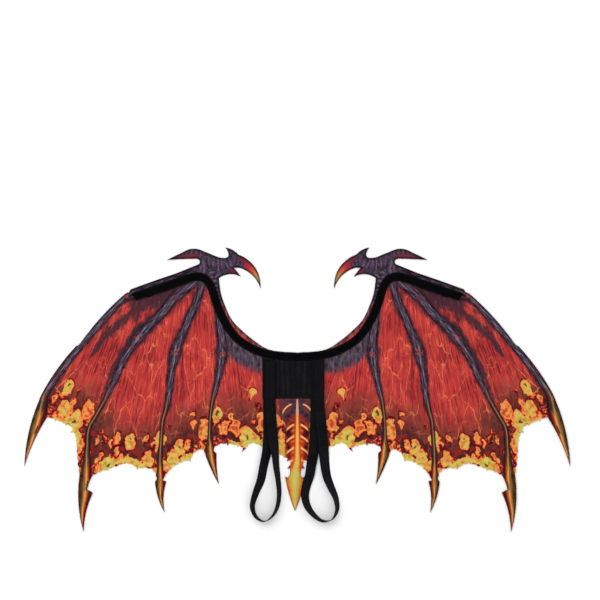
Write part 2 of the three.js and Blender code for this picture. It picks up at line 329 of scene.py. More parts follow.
@dataclass(frozen=True)
class Thread:
    """One kind of sewing thread: the size of a stitch that shows."""

    length: float = 0.0026
    width: float = 0.0006
    rise: float = 0.00035
    pitch: float = 0.0036
    rings: int = 5
    corners: int = 6
    blunt: float = 0.12

    def stitch(self) -> np.ndarray:
        """One stitch along x, an ellipsoid with blunt ends: it swells as the sine of the polar angle.

        Returns:
            Its points, ring by ring.
        """
        polar = np.linspace(self.blunt * math.pi, (1 - self.blunt) * math.pi, self.rings)
        turn = np.arange(self.corners) * TAU / self.corners
        along = -np.cos(polar)[:, None] * np.ones(self.corners) * self.length / 2
        side = np.sin(polar)[:, None] * np.cos(turn) * self.width / 2
        rise = np.sin(polar)[:, None] * np.sin(turn) * self.rise
        return np.stack([along, side, rise], -1).reshape(-1, 3)

    def sew(self, name: str, lines: Sequence[np.ndarray]) -> bpy.types.Object:
        """Sets stitches end to end along lines, each turned to the line's direction there.

        Args:
            name: The piece's name.
            lines: Lines of points on the cloth's face.

        Returns:
            One object with every stitch.
        """
        stitch = self.stitch()
        at, ways = [], []
        for line in lines:
            stops = even_line(line, self.pitch)
            at.append((stops[1:] + stops[:-1]) / 2)
            ways.append(unit(np.diff(stops, axis=0)))
        at, ways = np.vstack(at), np.vstack(ways)
        sides = unit(np.cross(np.array([0, 0, 1.0]), ways))
        axes = np.stack([ways, sides, np.cross(ways, sides)], 1)
        points = at[:, None, :] + np.einsum("tk,nkc->ntc", stitch, axes)
        shift = (np.arange(len(at)) * len(stitch))[:, None, None]
        quads = (grid_faces(self.rings, self.corners, True)[None] + shift).reshape(-1, 4)
        ends = (np.array(end_faces(self.rings, self.corners))[None] + shift).reshape(-1, self.corners)
        weave = np.broadcast_to(stitch, points.shape).reshape(-1, 3)
        return make_piece(name, points.reshape(-1, 3), quads.tolist() + ends.tolist(), {"weave": weave})


class Sketch:
    """A material under construction: short calls for the nodes that the finishes need."""

    def __init__(self, name: str) -> None:
        """Starts an empty material with a surface shader.

        Args:
            name: The material's name.
        """
        self.material = bpy.data.materials.new(name)
        self.material.use_nodes = True
        self.tree = self.material.node_tree
        self.tree.nodes.clear()
        self.shader = self.tree.nodes.new("ShaderNodeBsdfPrincipled")
        output = self.tree.nodes.new("ShaderNodeOutputMaterial")
        self.tree.links.new(self.shader.outputs[0], output.inputs["Surface"])

    def put(self, socket: Socket, value: Union[Value, Colour]) -> None:
        """Links a value to an input, or sets it there if it is a number or a colour.

        Args:
            socket: The input.
            value: Another node's output, a number or a colour.
        """
        if isinstance(value, bpy.types.NodeSocket):
            self.tree.links.new(value, socket)
        elif isinstance(value, tuple):
            socket.default_value = (*value, 1.0) if len(socket.default_value) == 4 else value
        else:
            socket.default_value = value

    def calc(self, operation: str, first: Value, second: Value = 0.0, third: Value = 0.0) -> Socket:
        """One step of arithmetic.

        Args:
            operation: The Math node's operation.
            first: Its first value.
            second: Its second value.
            third: Its third value, where the operation takes one.

        Returns:
            The result.
        """
        node = self.tree.nodes.new("ShaderNodeMath")
        node.operation = operation
        for socket, value in zip(node.inputs, (first, second, third)):
            self.put(socket, value)
        return node.outputs[0]

    def times(self, *values: Value) -> Socket:
        """The product of values.

        Args:
            *values: Two or more numbers or outputs.

        Returns:
            Their product.
        """
        product = values[0]
        for value in values[1:]:
            product = self.calc("MULTIPLY", product, value)
        return product

    def blend(self, *terms: tuple[Value, float]) -> Socket:
        """The sum of values, each times its own weight.

        Args:
            *terms: Pairs of a value and its weight.

        Returns:
            The sum.
        """
        total: Value = 0.0
        for value, weight in terms:
            total = self.calc("MULTIPLY_ADD", value, weight, total)
        return total

    def rise(self, value: Value, low: float, high: float) -> Socket:
        """A smooth step: 0 where value is at low, 1 where it is at high, either way round.

        Args:
            value: What is stepped.
            low: Where the step is 0.
            high: Where it is 1, above low or below it.

        Returns:
            The step, 0 to 1.
        """
        node = self.tree.nodes.new("ShaderNodeMapRange")
        node.interpolation_type = "SMOOTHSTEP"
        turned = low > high
        self.put(node.inputs["Value"], value)
        node.inputs["From Min"].default_value = min(low, high)
        node.inputs["From Max"].default_value = max(low, high)
        node.inputs["To Min"].default_value = 1.0 if turned else 0.0
        node.inputs["To Max"].default_value = 0.0 if turned else 1.0
        return node.outputs["Result"]

    def mix(self, share: Value, base: Ink, top: Ink) -> Socket:
        """One colour turning to another.

        Args:
            share: How far, 0 to 1.
            base: The colour at 0.
            top: The colour at 1.

        Returns:
            The mixed colour.
        """
        node = self.tree.nodes.new("ShaderNodeMix")
        node.data_type = "RGBA"
        for index, value in ((0, share), (6, base), (7, top)):
            self.put(node.inputs[index], value)
        return node.outputs[2]

    def scale(self, colour: Socket, share: Value) -> Socket:
        """A colour made darker or lighter.

        Args:
            colour: The colour.
            share: The factor.

        Returns:
            The scaled colour.
        """
        node = self.tree.nodes.new("ShaderNodeVectorMath")
        node.operation = "SCALE"
        self.put(node.inputs[0], colour)
        self.put(node.inputs["Scale"], share)
        return node.outputs[0]

    def ramp(self, value: Value, stops: Sequence[tuple[float, Colour]]) -> Socket:
        """A colour ramp.

        Args:
            value: Where on the ramp, 0 to 1.
            stops: Its places and colours.

        Returns:
            The colour there.
        """
        node = self.tree.nodes.new("ShaderNodeValToRGB")
        ramp = node.color_ramp
        while len(ramp.elements) < len(stops):
            ramp.elements.new(0.5)
        for element, (place, colour) in zip(ramp.elements, sorted(stops)):
            element.position = place
            element.color = (*colour, 1.0)
        self.put(node.inputs[0], value)
        return node.outputs[0]

    def parts(self, name: str) -> tuple[Socket, Socket, Socket]:
        """The three numbers of an attribute of the piece.

        Args:
            name: The attribute's name.

        Returns:
            One output a number.
        """
        source = self.tree.nodes.new("ShaderNodeAttribute")
        source.attribute_name = name
        return self.split(source.outputs["Vector"])

    def split(self, vector: Socket) -> tuple[Socket, Socket, Socket]:
        """The three numbers of a vector.

        Args:
            vector: The vector.

        Returns:
            One output a number.
        """
        node = self.tree.nodes.new("ShaderNodeSeparateXYZ")
        self.tree.links.new(vector, node.inputs[0])
        return node.outputs[0], node.outputs[1], node.outputs[2]

    def join(self, x: Value, y: Value, z: Value = 0.0) -> Socket:
        """A vector of three numbers.

        Args:
            x: Its first number.
            y: Its second number.
            z: Its third number.

        Returns:
            The vector.
        """
        node = self.tree.nodes.new("ShaderNodeCombineXYZ")
        for socket, value in zip(node.inputs, (x, y, z)):
            self.put(socket, value)
        return node.outputs[0]

    def place(self) -> Socket:
        """The point on the piece, in its own frame."""
        return self.tree.nodes.new("ShaderNodeTexCoord").outputs["Object"]

    def cloud(self, vector: Socket, scale: float, detail: float, rough: float) -> bpy.types.Node:
        """A noise node.

        Args:
            vector: Where it is read.
            scale: Lumps a metre.
            detail: Finer lumps added.
            rough: Share of the finer lumps.

        Returns:
            The node.
        """
        node = self.tree.nodes.new("ShaderNodeTexNoise")
        self.put(node.inputs["Vector"], vector)
        for key, value in (("Scale", scale), ("Detail", detail), ("Roughness", rough)):
            node.inputs[key].default_value = value
        return node

    def noise(self, vector: Socket, scale: float, detail: float = 2.0, rough: float = 0.5) -> Socket:
        """A cloudy value about one half."""
        return self.cloud(vector, scale, detail, rough).outputs["Fac"]

    def centred(self, vector: Socket, scale: float, detail: float = 2.0, rough: float = 0.5) -> Socket:
        """A cloudy value about zero."""
        return self.calc("SUBTRACT", self.noise(vector, scale, detail, rough), 0.5)

    def shaken(self, vector: Socket, scale: float, reach: float) -> Socket:
        """A place moved about by a cloudy amount, at most half of reach each way.

        Args:
            vector: The place.
            scale: Lumps of the cloud a unit.
            reach: The most that a place moves, from one side to the other.

        Returns:
            The moved place.
        """
        move = self.tree.nodes.new("ShaderNodeVectorMath")
        move.operation = "MULTIPLY_ADD"
        self.put(move.inputs[0], self.cloud(vector, scale, 2.0, 0.5).outputs["Color"])
        move.inputs[1].default_value = (reach,) * 3
        self.put(move.inputs[2], vector)
        return move.outputs[0]

    def ridge(self, vector: Socket, width: float, detail: float) -> Socket:
        """1 along the crooked lines where a cloudy value passes one half."""
        off = self.calc("ABSOLUTE", self.centred(vector, 1.0, detail, 0.6))
        return self.rise(off, width, width * 0.25)

    def scatter(self, vector: Socket, scale: float, feature: str) -> bpy.types.Node:
        """A node of cells scattered over the plane.

        Args:
            vector: Where they are read.
            scale: Cells a unit.
            feature: The Voronoi node's feature.

        Returns:
            The node.
        """
        node = self.tree.nodes.new("ShaderNodeTexVoronoi")
        node.voronoi_dimensions = "2D"
        node.feature = feature
        self.put(node.inputs["Vector"], vector)
        node.inputs["Scale"].default_value = scale
        return node

    def web(self, vector: Socket, width: float) -> Socket:
        """1 along the borders between scattered cells, which branch like veins."""
        node = self.scatter(vector, 1.0, "DISTANCE_TO_EDGE")
        return self.rise(node.outputs["Distance"], width, width * 0.3)

    def cells(self, vector: Socket, scale: float) -> tuple[Socket, Socket, Socket]:
        """Scattered cells.

        Args:
            vector: Where they are read.
            scale: Cells a unit.

        Returns:
            The distance to the nearest cell's middle, in cells, and two chances of that cell's own,
            0 to 1.
        """
        node = self.scatter(vector, scale, "F1")
        first, second, _ = self.split(node.outputs["Color"])
        return node.outputs["Distance"], first, second

    def bump(self, height: Socket, depth: float, strength: float) -> None:
        """Relief of the surface.

        Args:
            height: The height, in units of depth.
            depth: Metres of relief where the height is 1.
            strength: Share of the relief that shows.
        """
        node = self.tree.nodes.new("ShaderNodeBump")
        node.inputs["Strength"].default_value = strength
        node.inputs["Distance"].default_value = depth
        self.put(node.inputs["Height"], height)
        self.tree.links.new(node.outputs[0], self.shader.inputs["Normal"])

    def finish(self, colour: Socket, rough: Value, gloss: float) -> bpy.types.Material:
        """Joins colour, roughness and gloss to the shader.

        Args:
            colour: The base colour.
            rough: The roughness.
            gloss: How much of the light it mirrors, from none at 0 to plastic at 0.5.

        Returns:
            The finished material.
        """
        self.put(self.shader.inputs["Base Color"], colour)
        self.put(self.shader.inputs["Roughness"], rough)
        self.shader.inputs["Specular IOR Level"].default_value = gloss
        return self.material


@dataclass(frozen=True)
class PrintInks:
    """The colours of the print: single inks, and ramps of inks."""

    red: Colour = rgb(178, 54, 52)
    bright: Colour = rgb(208, 80, 68)
    deep: Colour = rgb(102, 28, 36)
    rust: Colour = rgb(92, 54, 42)
    night: Colour = rgb(56, 38, 48)
    vein: Colour = rgb(234, 120, 80)
    scorch: Colour = rgb(54, 30, 34)
    ember: Colour = rgb(150, 34, 32)
    burnt_hole: Colour = rgb(72, 28, 22)
    warm_skin: Colour = rgb(112, 52, 56)
    cream: Colour = rgb(236, 206, 160)
    bone_halo: Colour = rgb(38, 18, 26)
    bone_blush: Colour = rgb(116, 42, 48)
    horn_crack: Colour = rgb(40, 22, 22)
    claw_crack: Colour = rgb(50, 28, 22)
    spark: Colour = rgb(206, 76, 54)
    head_ring: Colour = rgb(112, 100, 124)
    head_rim: Colour = rgb(22, 14, 22)
    cut_edge: Colour = rgb(30, 14, 18)
    tail_stripe: Colour = rgb(58, 48, 60)
    tail_glow: Colour = rgb(196, 60, 30)
    barb: Colour = rgb(214, 108, 50)
    rib: Colour = rgb(232, 166, 98)
    spine_root: Colour = rgb(196, 150, 120)
    speck: Stops = tones((0.42, 96, 20, 26), (0.54, 186, 44, 40), (0.62, 232, 128, 84))
    shore: Stops = tones(
        (0.1, 62, 16, 22),
        (0.19, 110, 24, 26),
        (0.24, 194, 54, 36),
        (0.32, 224, 100, 48),
        (0.41, 226, 150, 78),
        (0.5, 218, 154, 80),
    )
    fire: Stops = tones((0.4, 220, 148, 78), (0.51, 214, 110, 56), (0.61, 184, 62, 38))
    gold: Stops = tones((0.42, 200, 178, 80), (0.52, 206, 158, 74), (0.62, 206, 112, 52))
    moss: Stops = tones((0.42, 204, 188, 92), (0.53, 188, 172, 70), (0.61, 192, 124, 54))
    skin: Stops = tones((0.34, 44, 32, 42), (0.52, 74, 62, 76), (0.7, 106, 94, 110))
    neck: Stops = tones((0.36, 66, 28, 36), (0.54, 108, 56, 66), (0.7, 156, 108, 110))
    bone: Stops = tones((0.28, 24, 16, 24), (0.4, 46, 36, 48), (0.5, 70, 62, 77), (0.64, 126, 120, 138))
    stem: Stops = tones(
        (0.08, 34, 18, 18),
        (0.3, 84, 56, 42),
        (0.44, 158, 120, 88),
        (0.56, 88, 60, 46),
        (0.9, 36, 18, 20),
    )
    claw: Stops = tones(
        (0.04, 30, 14, 12),
        (0.22, 96, 64, 34),
        (0.42, 146, 108, 54),
        (0.53, 226, 158, 84),
        (0.63, 190, 82, 36),
        (0.78, 116, 28, 20),
        (0.96, 54, 12, 14),
    )
    head: Stops = tones((0.36, 36, 28, 40), (0.52, 62, 50, 66), (0.66, 86, 60, 74))
    horn: Stops = tones(
        (0.0, 52, 38, 54),
        (0.1, 74, 40, 58),
        (0.22, 112, 40, 54),
        (0.42, 160, 48, 56),
        (0.6, 204, 92, 54),
        (0.76, 228, 170, 84),
        (0.9, 226, 210, 150),
        (1.0, 60, 40, 34),
    )
    tail_skin: Stops = tones((0.38, 44, 24, 36), (0.5, 82, 54, 58), (0.62, 120, 40, 44))
    tail_coal: Stops = tones((0.38, 34, 16, 24), (0.52, 110, 30, 26), (0.66, 186, 62, 32))
    spine: Stops = tones((0.0, 226, 196, 96), (0.35, 222, 160, 70), (0.7, 206, 92, 44), (1.0, 150, 44, 26))
    spade: Stops = tones((0.0, 204, 190, 92), (0.4, 198, 172, 76), (0.62, 216, 126, 56), (0.95, 200, 72, 38))


class WingPrint:
    """The printed felt under construction: each layer of the print is laid over the colour so far.

    It reads the attributes that PrintedWings gives the sheet. Lengths are in metres, and q is a
    distance to a drawn line over the line's half width.
    """

    def __init__(self, inks: PrintInks) -> None:
        """Reads the place and the attributes, with both wings alike about the axis.

        Args:
            inks: The colours of the print.
        """
        self.inks = inks
        self.s = s = Sketch("wing_print")
        x, y, _ = s.split(s.place())
        self.x, self.y = s.calc("ABSOLUTE", x), y
        self.at = s.join(self.x, y)
        self.theta, self.radius, self.root = s.parts("fan")
        self.to_hem, self.to_rim, self.shade = s.parts("place")
        self.bone_q, self.bone_side, self.bone_along = s.parts("bone")
        self.horn, self.head_q, self.ember = s.parts("coat")
        self.head_along, self.head_side, self.neck = s.parts("ring")
        self.tail_q, self.tail_out, self.tail_along = s.parts("tail")
        self.knuckle, _, self.dusk = s.parts("dusk")
        self.wobble = self.mist(160, 3, 0.6)
        self.colour: Ink = inks.red

    def lay(self, share: Value, ink: Ink) -> None:
        """Lays an ink over the colour so far, as thick as share says."""
        self.colour = self.s.mix(share, self.colour, ink)

    def cloud(self, scale: float, detail: float, rough: float = 0.5) -> Socket:
        """A cloudy value about one half, so many lumps a metre."""
        return self.s.noise(self.at, scale, detail, rough)

    def mist(self, scale: float, detail: float, rough: float = 0.5) -> Socket:
        """A cloudy value about zero, so many lumps a metre."""
        return self.s.centred(self.at, scale, detail, rough)

    def fan(self, lanes: float, rows: float, layer: float = 0.0) -> Socket:
        """A place among the streaks: so many lanes a radian, and rows a metre from the fan's origin."""
        return self.s.join(self.s.times(self.theta, lanes), self.s.times(self.radius, rows), layer)

    def lay_membrane(self) -> None:
        """The red skin: cloudy reds in fine streaks that fan out from the wrist, darker by the bones."""
        s, inks = self.s, self.inks
        lanes = self.fan(140, 12)
        thread = s.noise(self.fan(270, 26), 1.0)
        level = s.blend((self.cloud(20, 3, 0.6), 0.3), (s.noise(lanes, 1.0, 3, 0.65), 0.34), (thread, 0.38))
        reds = ((0.41, inks.deep), (0.485, inks.red), (0.53, inks.red), (0.6, inks.bright))
        self.colour = s.ramp(level, reds)
        stain = s.noise(self.fan(66, 8, 6.0), 1.0, 4, 0.7)
        self.lay(s.times(s.rise(stain, 0.5, 0.34), 0.75), inks.deep)
        char = s.blend(
            (self.to_hem, -1.0), (self.mist(24, 3), 0.08), (s.centred(lanes, 1.0), 0.08), (thread, 0.07)
        )
        self.lay(s.times(s.rise(char, -0.08, -0.005), 0.8), inks.rust)
        high = s.rise(self.y, -0.06, 0.14)
        rough = s.blend((self.mist(45, 4, 0.65), 2.8), (self.bone_q, 1.0), (high, -0.7), (thread, 0.8))
        self.lay(s.times(s.rise(rough, 2.1, 0.6), 0.8), inks.night)
        dark = s.blend((self.shade, 1.0), (self.cloud(38, 4, 0.65), 2.6), (s.noise(lanes, 1.0), 0.9))
        self.lay(s.times(s.rise(dark, 1.9, 2.4), s.rise(self.shade, 0.0, 0.3), 0.92), inks.night)

    def lay_veins(self) -> None:
        """Thin bright crooked lines, which run down the streaks and fade in and out."""
        s = self.s
        main = s.web(s.shaken(s.shaken(self.fan(21, 13), 1.3, 0.7), 5.0, 0.22), 0.03)
        fine = s.web(s.shaken(self.fan(50, 30), 2.0, 0.8), 0.045)
        clear = s.times(s.rise(self.bone_q, 0.9, 2.0), s.rise(self.shade, 1.0, 0.3))
        self.lay(s.times(fine, s.rise(self.cloud(33, 2), 0.46, 0.64), clear, 0.4), self.inks.vein)
        self.lay(s.times(main, s.rise(self.cloud(19, 3), 0.4, 0.62), clear, 0.75), self.inks.vein)

    def lay_scorch(self) -> None:
        """The burnt band along the hem, with embers in it and gritty specks beside the bones."""
        s, inks = self.s, self.inks
        thread = s.centred(self.fan(270, 40), 1.0, 3, 0.6)
        band = s.blend(
            (self.to_hem, 1.0), (self.wobble, 0.05), (self.mist(30, 3, 0.6), 0.1), (thread, 0.03)
        )
        patch = s.calc("MULTIPLY_ADD", s.rise(self.cloud(17, 2), 0.4, 0.62), 0.32, 0.64)
        self.lay(s.times(s.rise(band, 0.07, 0.028), patch), inks.scorch)
        ember = s.times(s.rise(band, 0.056, 0.026), s.rise(self.cloud(64, 3, 0.6), 0.47, 0.6))
        self.lay(s.times(ember, 0.75), inks.ember)
        by_bone = s.times(s.rise(self.bone_q, 4.2, 2.0), s.rise(self.to_hem, 0.022, 0.014))
        by_bone = s.times(by_bone, s.rise(self.tail_out, 0.05, 0.08))
        self.lay(s.times(by_bone, 0.9), s.ramp(self.cloud(230, 2), inks.speck))

    def islands(
        self, spot: Socket, hem: Socket, scale: float, rare: float
    ) -> tuple[Socket, Socket, Socket]:
        """Scattered glowing islands, more and larger towards the hem.

        A cell holds one where its own chance beats the distance to the hem; the rest of the chance
        is its size.

        Args:
            spot: Where they are read, along the streaks and shaken.
            hem: Metres to the hem.
            scale: Cells a metre.
            rare: Share of the cells that stay empty even at the hem; it also moves the cells.

        Returns:
            Metres inside the nearest island's shore, negative outside; its own tone of 0 to 1; and
            1 on the burnt hole in the middle of a large one.
        """
        s = self.s
        x, y, _ = s.split(spot)
        distance, chance, tone = s.cells(s.join(s.calc("ADD", x, rare), s.times(y, 0.52)), scale)
        need = s.blend((s.calc("MAXIMUM", hem, -0.02), 8.2), (1.0, rare))
        size = s.calc("MINIMUM", s.times(s.calc("SUBTRACT", chance, need), 1.5), 0.46)
        empty = s.calc("LESS_THAN", size, 0.14)
        depth = s.times(s.blend((size, 1.0), (distance, -1.0), (empty, -1.0)), 1 / scale)
        hole = s.times(s.rise(distance, 0.11, 0.055), s.rise(size, 0.3, 0.36), s.rise(tone, 0.5, 0.56))
        return depth, tone, hole

    def lay_islands(self) -> None:
        """The glowing islands of the burnt hem, and its patchy lime lip."""
        s, inks = self.s, self.inks
        free = s.times(s.rise(self.bone_q, 1.8, 4.5), s.rise(self.tail_out, 0.035, 0.07))
        by_tail = s.times(s.rise(self.tail_out, 0.05, 0.03), s.rise(self.tail_along, 0.03, 0.06))
        hem = s.blend((self.to_hem, 1.0), (by_tail, -0.028))
        spot = s.shaken(s.join(s.times(self.theta, 0.66), self.radius), 70, 0.02)
        big, tone, hole = self.islands(spot, hem, 37, 0.02)
        small, _, _ = self.islands(spot, hem, 82, 0.16)
        lip = s.blend((hem, -1.0), (self.mist(27, 3, 0.6), 0.1), (free, 0.013), (1.0, -0.008))
        large = s.calc("MAXIMUM", big, lip)
        depth = s.blend((s.calc("MAXIMUM", large, small), 1.0), (self.mist(165, 2), 0.0032))
        shore = s.ramp(s.calc("MULTIPLY_ADD", depth, 100.0, 0.2), inks.shore)
        mottle = self.cloud(115, 2)
        golden = s.times(s.rise(tone, 0.1, 0.45), s.rise(large, 0.0005, 0.002))
        inner = s.mix(golden, s.ramp(mottle, inks.fire), s.ramp(mottle, inks.gold))
        lit = s.mix(s.rise(depth, 0.002, 0.0036), shore, inner)
        green = s.rise(s.blend((hem, -1.0), (self.mist(32, 2), 0.11)), -0.022, -0.004)
        green = s.times(green, s.rise(depth, 0.0012, 0.003), free)
        lit = s.mix(s.times(green, 0.9), lit, s.ramp(mottle, inks.moss))
        lit = s.mix(s.times(hole, s.rise(depth, 0.002, 0.004), 0.9), lit, inks.burnt_hole)
        self.lay(s.rise(depth, -0.0024, -0.001), lit)

    def lay_skin(self) -> None:
        """The purple-grey root of the wing, and the mauve rim of the neck."""
        s, inks = self.s, self.inks
        grain = s.noise(s.join(s.times(self.x, 210), s.times(self.y, 55)), 1.0, 3, 0.6)
        warm = s.times(s.rise(self.root, 0.8, 0.1), s.rise(self.cloud(60, 3, 0.6), 0.38, 0.58), 0.75)
        hide = s.mix(warm, s.ramp(grain, inks.skin), inks.warm_skin)
        patch = s.blend((self.root, 1.0), (self.wobble, 0.5), (grain, -0.8), (1.0, 0.4))
        self.lay(s.rise(patch, -0.12, 0.42), hide)
        glint = s.times(s.rise(self.x, 0.034, 0.012), s.rise(self.cloud(150, 2), 0.44, 0.6))
        self.lay(s.rise(self.neck, 0.0, 0.2), s.mix(glint, s.ramp(grain, inks.neck), inks.cream))

    def bone_body(self, grain: Socket, lanes: Socket) -> Socket:
        """A bone's own colour: charcoal with a blush, then a brown stem, then the shell of a claw.

        Args:
            grain: The streaks along the bone, 0 to 1.
            lanes: A place along and across the bone.

        Returns:
            The colour.
        """
        s, inks = self.s, self.inks
        inward = s.blend((self.bone_side, -0.5), (s.centred(lanes, 1.0), 0.16), (1.0, 0.5))
        claw = s.mix(s.rise(grain, 0.48, 0.3), s.ramp(inward, inks.claw), inks.claw_crack)
        blush = s.times(s.rise(self.cloud(105, 3, 0.65), 0.53, 0.66), 0.6)
        bone = s.mix(blush, s.ramp(grain, inks.bone), inks.bone_blush)
        body = s.mix(s.rise(self.horn, 0.0, 0.45), bone, s.ramp(inward, inks.stem))
        crack = s.times(s.rise(grain, 0.47, 0.33), s.rise(self.horn, 0.1, 0.4), 0.7)
        body = s.mix(s.rise(self.horn, 0.7, 0.95), s.mix(crack, body, inks.horn_crack), claw)
        return s.scale(body, s.calc("MULTIPLY_ADD", self.dusk, -0.5, 1.0))

    def lay_bones(self) -> None:
        """Finger bones with pale streaks, a dark halo and sparks about their knuckles."""
        s, inks = self.s, self.inks
        lanes = s.join(s.times(self.bone_side, 2.9), s.times(self.bone_along, 42))
        grain = s.blend(
            (s.noise(lanes, 1.0, 3, 0.65), 1.0), (s.times(self.bone_side, self.bone_side), -0.2)
        )
        ragged = s.times(self.mist(75, 3, 0.6), s.rise(self.horn, 0.5, 0.1))
        edge = s.blend((self.bone_q, 1.0), (self.wobble, 0.55), (ragged, 1.1))
        halo = s.times(s.rise(edge, 1.5, 0.95), s.calc("MULTIPLY_ADD", self.horn, -0.2, 0.65))
        self.lay(halo, inks.bone_halo)
        self.lay(s.rise(edge, 1.05, 0.9), self.bone_body(grain, lanes))
        spark = s.ridge(s.join(s.times(self.bone_side, 1.2), s.times(self.bone_along, 110), 9.0), 0.05, 2)
        near = s.blend((self.knuckle, 1.0), (self.wobble, 1.6))
        spark = s.times(spark, s.rise(near, 0.45, 0.95), s.rise(self.bone_q, 1.5, 1.0))
        self.lay(s.times(spark, 0.7), inks.spark)

    def lay_heads(self) -> None:
        """Purple-black wrist heads with pale rings, and horns that glow towards their tips."""
        s, inks = self.s, self.inks
        over = s.times(s.rise(self.head_side, -0.2, 0.25), s.rise(self.ember, 0.3, 0.26), 0.85)
        ember = s.times(self.ember, s.calc("SUBTRACT", 1.0, over))
        bend = s.times(self.head_side, self.head_side)
        turn = s.blend((self.head_along, TAU / 0.0085), (bend, 1.6), (self.cloud(80, 3, 0.6), 7.0))
        ring = s.times(s.rise(s.calc("SINE", turn), 0.2, 0.95), s.rise(self.cloud(130, 2), 0.32, 0.6))
        hide = s.mix(s.times(ring, 0.65), s.ramp(self.cloud(80, 3, 0.65), inks.head), inks.head_ring)
        hide = s.mix(s.rise(ember, 0.02, 0.16), hide, s.ramp(ember, inks.horn))
        hide = s.mix(s.times(s.rise(self.to_rim, 0.006, 0.001), 0.85), hide, inks.head_rim)
        self.lay(s.rise(self.head_q, 1.12, 0.96), hide)

    def arches(self, pitch: float, phase: float) -> Socket:
        """A sine wave down the tail, whose crests hang in parabolas from the spine.

        Args:
            pitch: Metres from crest to crest.
            phase: How far the crests are moved, in radians.

        Returns:
            The wave, -1 to 1.
        """
        s = self.s
        bent = s.blend((self.tail_along, 1.0), (s.times(self.tail_out, self.tail_out), -26.0))
        return s.calc("SINE", s.calc("MULTIPLY_ADD", bent, TAU / pitch, phase))

    def ribs(self) -> Socket:
        """One wide pair of ribs as arcs of a circle, and shorter bent ones in even steps below it.

        Returns:
            1 on a rib, 0 off it.
        """
        s, out, along = self.s, self.tail_out, self.tail_along
        aside, below = s.calc("SUBTRACT", out, 0.004), s.calc("SUBTRACT", along, 0.038)
        reach = s.calc("SQRT", s.calc("ADD", s.times(aside, aside), s.times(below, below)))
        arc = s.calc("ABSOLUTE", s.calc("SUBTRACT", reach, 0.025))
        arc = s.times(s.rise(arc, 0.0018, 0.0008), s.rise(along, 0.034, 0.028), s.rise(out, 0.009, 0.013))
        rib = s.rise(self.arches(0.0225, -0.4), 0.7, 0.92)
        rib = s.times(rib, s.rise(out, 0.0045, 0.008), s.rise(out, 0.023, 0.018))
        return s.calc("MAXIMUM", arc, s.times(rib, s.rise(along, 0.046, 0.052)))

    def lay_tail(self) -> None:
        """The tail: a glowing spine with curved ribs, over a spade with orange barbs."""
        s, inks, q, out, along = self.s, self.inks, self.tail_q, self.tail_out, self.tail_along
        low = s.rise(along, 0.028, 0.06)
        cloud = self.cloud(75, 3, 0.6)
        reach = s.blend((out, 1.0), (low, 0.012), (cloud, -0.012))
        inside = s.times(s.rise(reach, 0.032, 0.026), s.rise(along, 0.0, 0.006))
        ground = s.mix(low, s.ramp(cloud, inks.tail_skin), s.ramp(cloud, inks.tail_coal))
        stripe = s.times(s.rise(out, 0.0115, 0.0105), s.rise(out, 0.0035, 0.005))
        stripe = s.times(stripe, s.rise(along, 0.036, 0.026))
        ground = s.mix(s.times(stripe, 0.8), ground, inks.tail_stripe)
        glow = s.rise(s.blend((q, 1.0), (self.mist(120, 2), 1.6)), 2.7, 1.1)
        ground = s.mix(s.times(glow, low, 0.85), ground, inks.tail_glow)
        barb = s.times(s.rise(self.arches(0.0105, 2.0), 0.5, 0.9), s.rise(out, 0.004, 0.0055))
        barb = s.times(barb, s.rise(out, 0.0125, 0.009), s.rise(along, 0.056, 0.06))
        ground = s.mix(self.ribs(), s.mix(barb, ground, inks.barb), inks.rib)
        spine = s.mix(s.rise(along, 0.026, 0.04), inks.spine_root, s.ramp(q, inks.spine))
        ground = s.mix(s.rise(q, 1.15, 0.9), ground, spine)
        spade = s.ramp(s.blend((q, 1.0), (self.mist(90, 2), 0.5)), inks.spade)
        ground = s.mix(s.times(s.rise(along, 0.118, 0.134), s.rise(q, 1.4, 1.2)), ground, spade)
        self.lay(inside, ground)

    def felt(self) -> bpy.types.Material:
        """Darkens the cut edge, and gives the print the fibres and lumps of felt.

        Returns:
            The finished material.
        """
        s = self.s
        fibre = self.cloud(1300, 3, 0.7)
        edge = s.times(s.rise(self.to_rim, 0.0022, 0.0004), s.rise(self.to_hem, 0.004, 0.012), 0.6)
        self.lay(edge, self.inks.cut_edge)
        self.colour = s.scale(self.colour, s.calc("MULTIPLY_ADD", fibre, 0.5, 0.75))
        s.bump(s.blend((fibre, 1.0), (self.cloud(90, 2), 1.5)), 0.0004, 0.5)
        return s.finish(self.colour, 0.9, 0.02)

    def build(self) -> bpy.types.Material:
        """Lays the print from the membrane up to tail, bones and wrist heads.

        Returns:
            The finished material.
        """
        self.lay_membrane()
        self.lay_veins()
        self.lay_scorch()
        self.lay_islands()
        self.lay_tail()
        self.lay_skin()
        self.lay_bones()
        self.lay_heads()
        return self.felt()


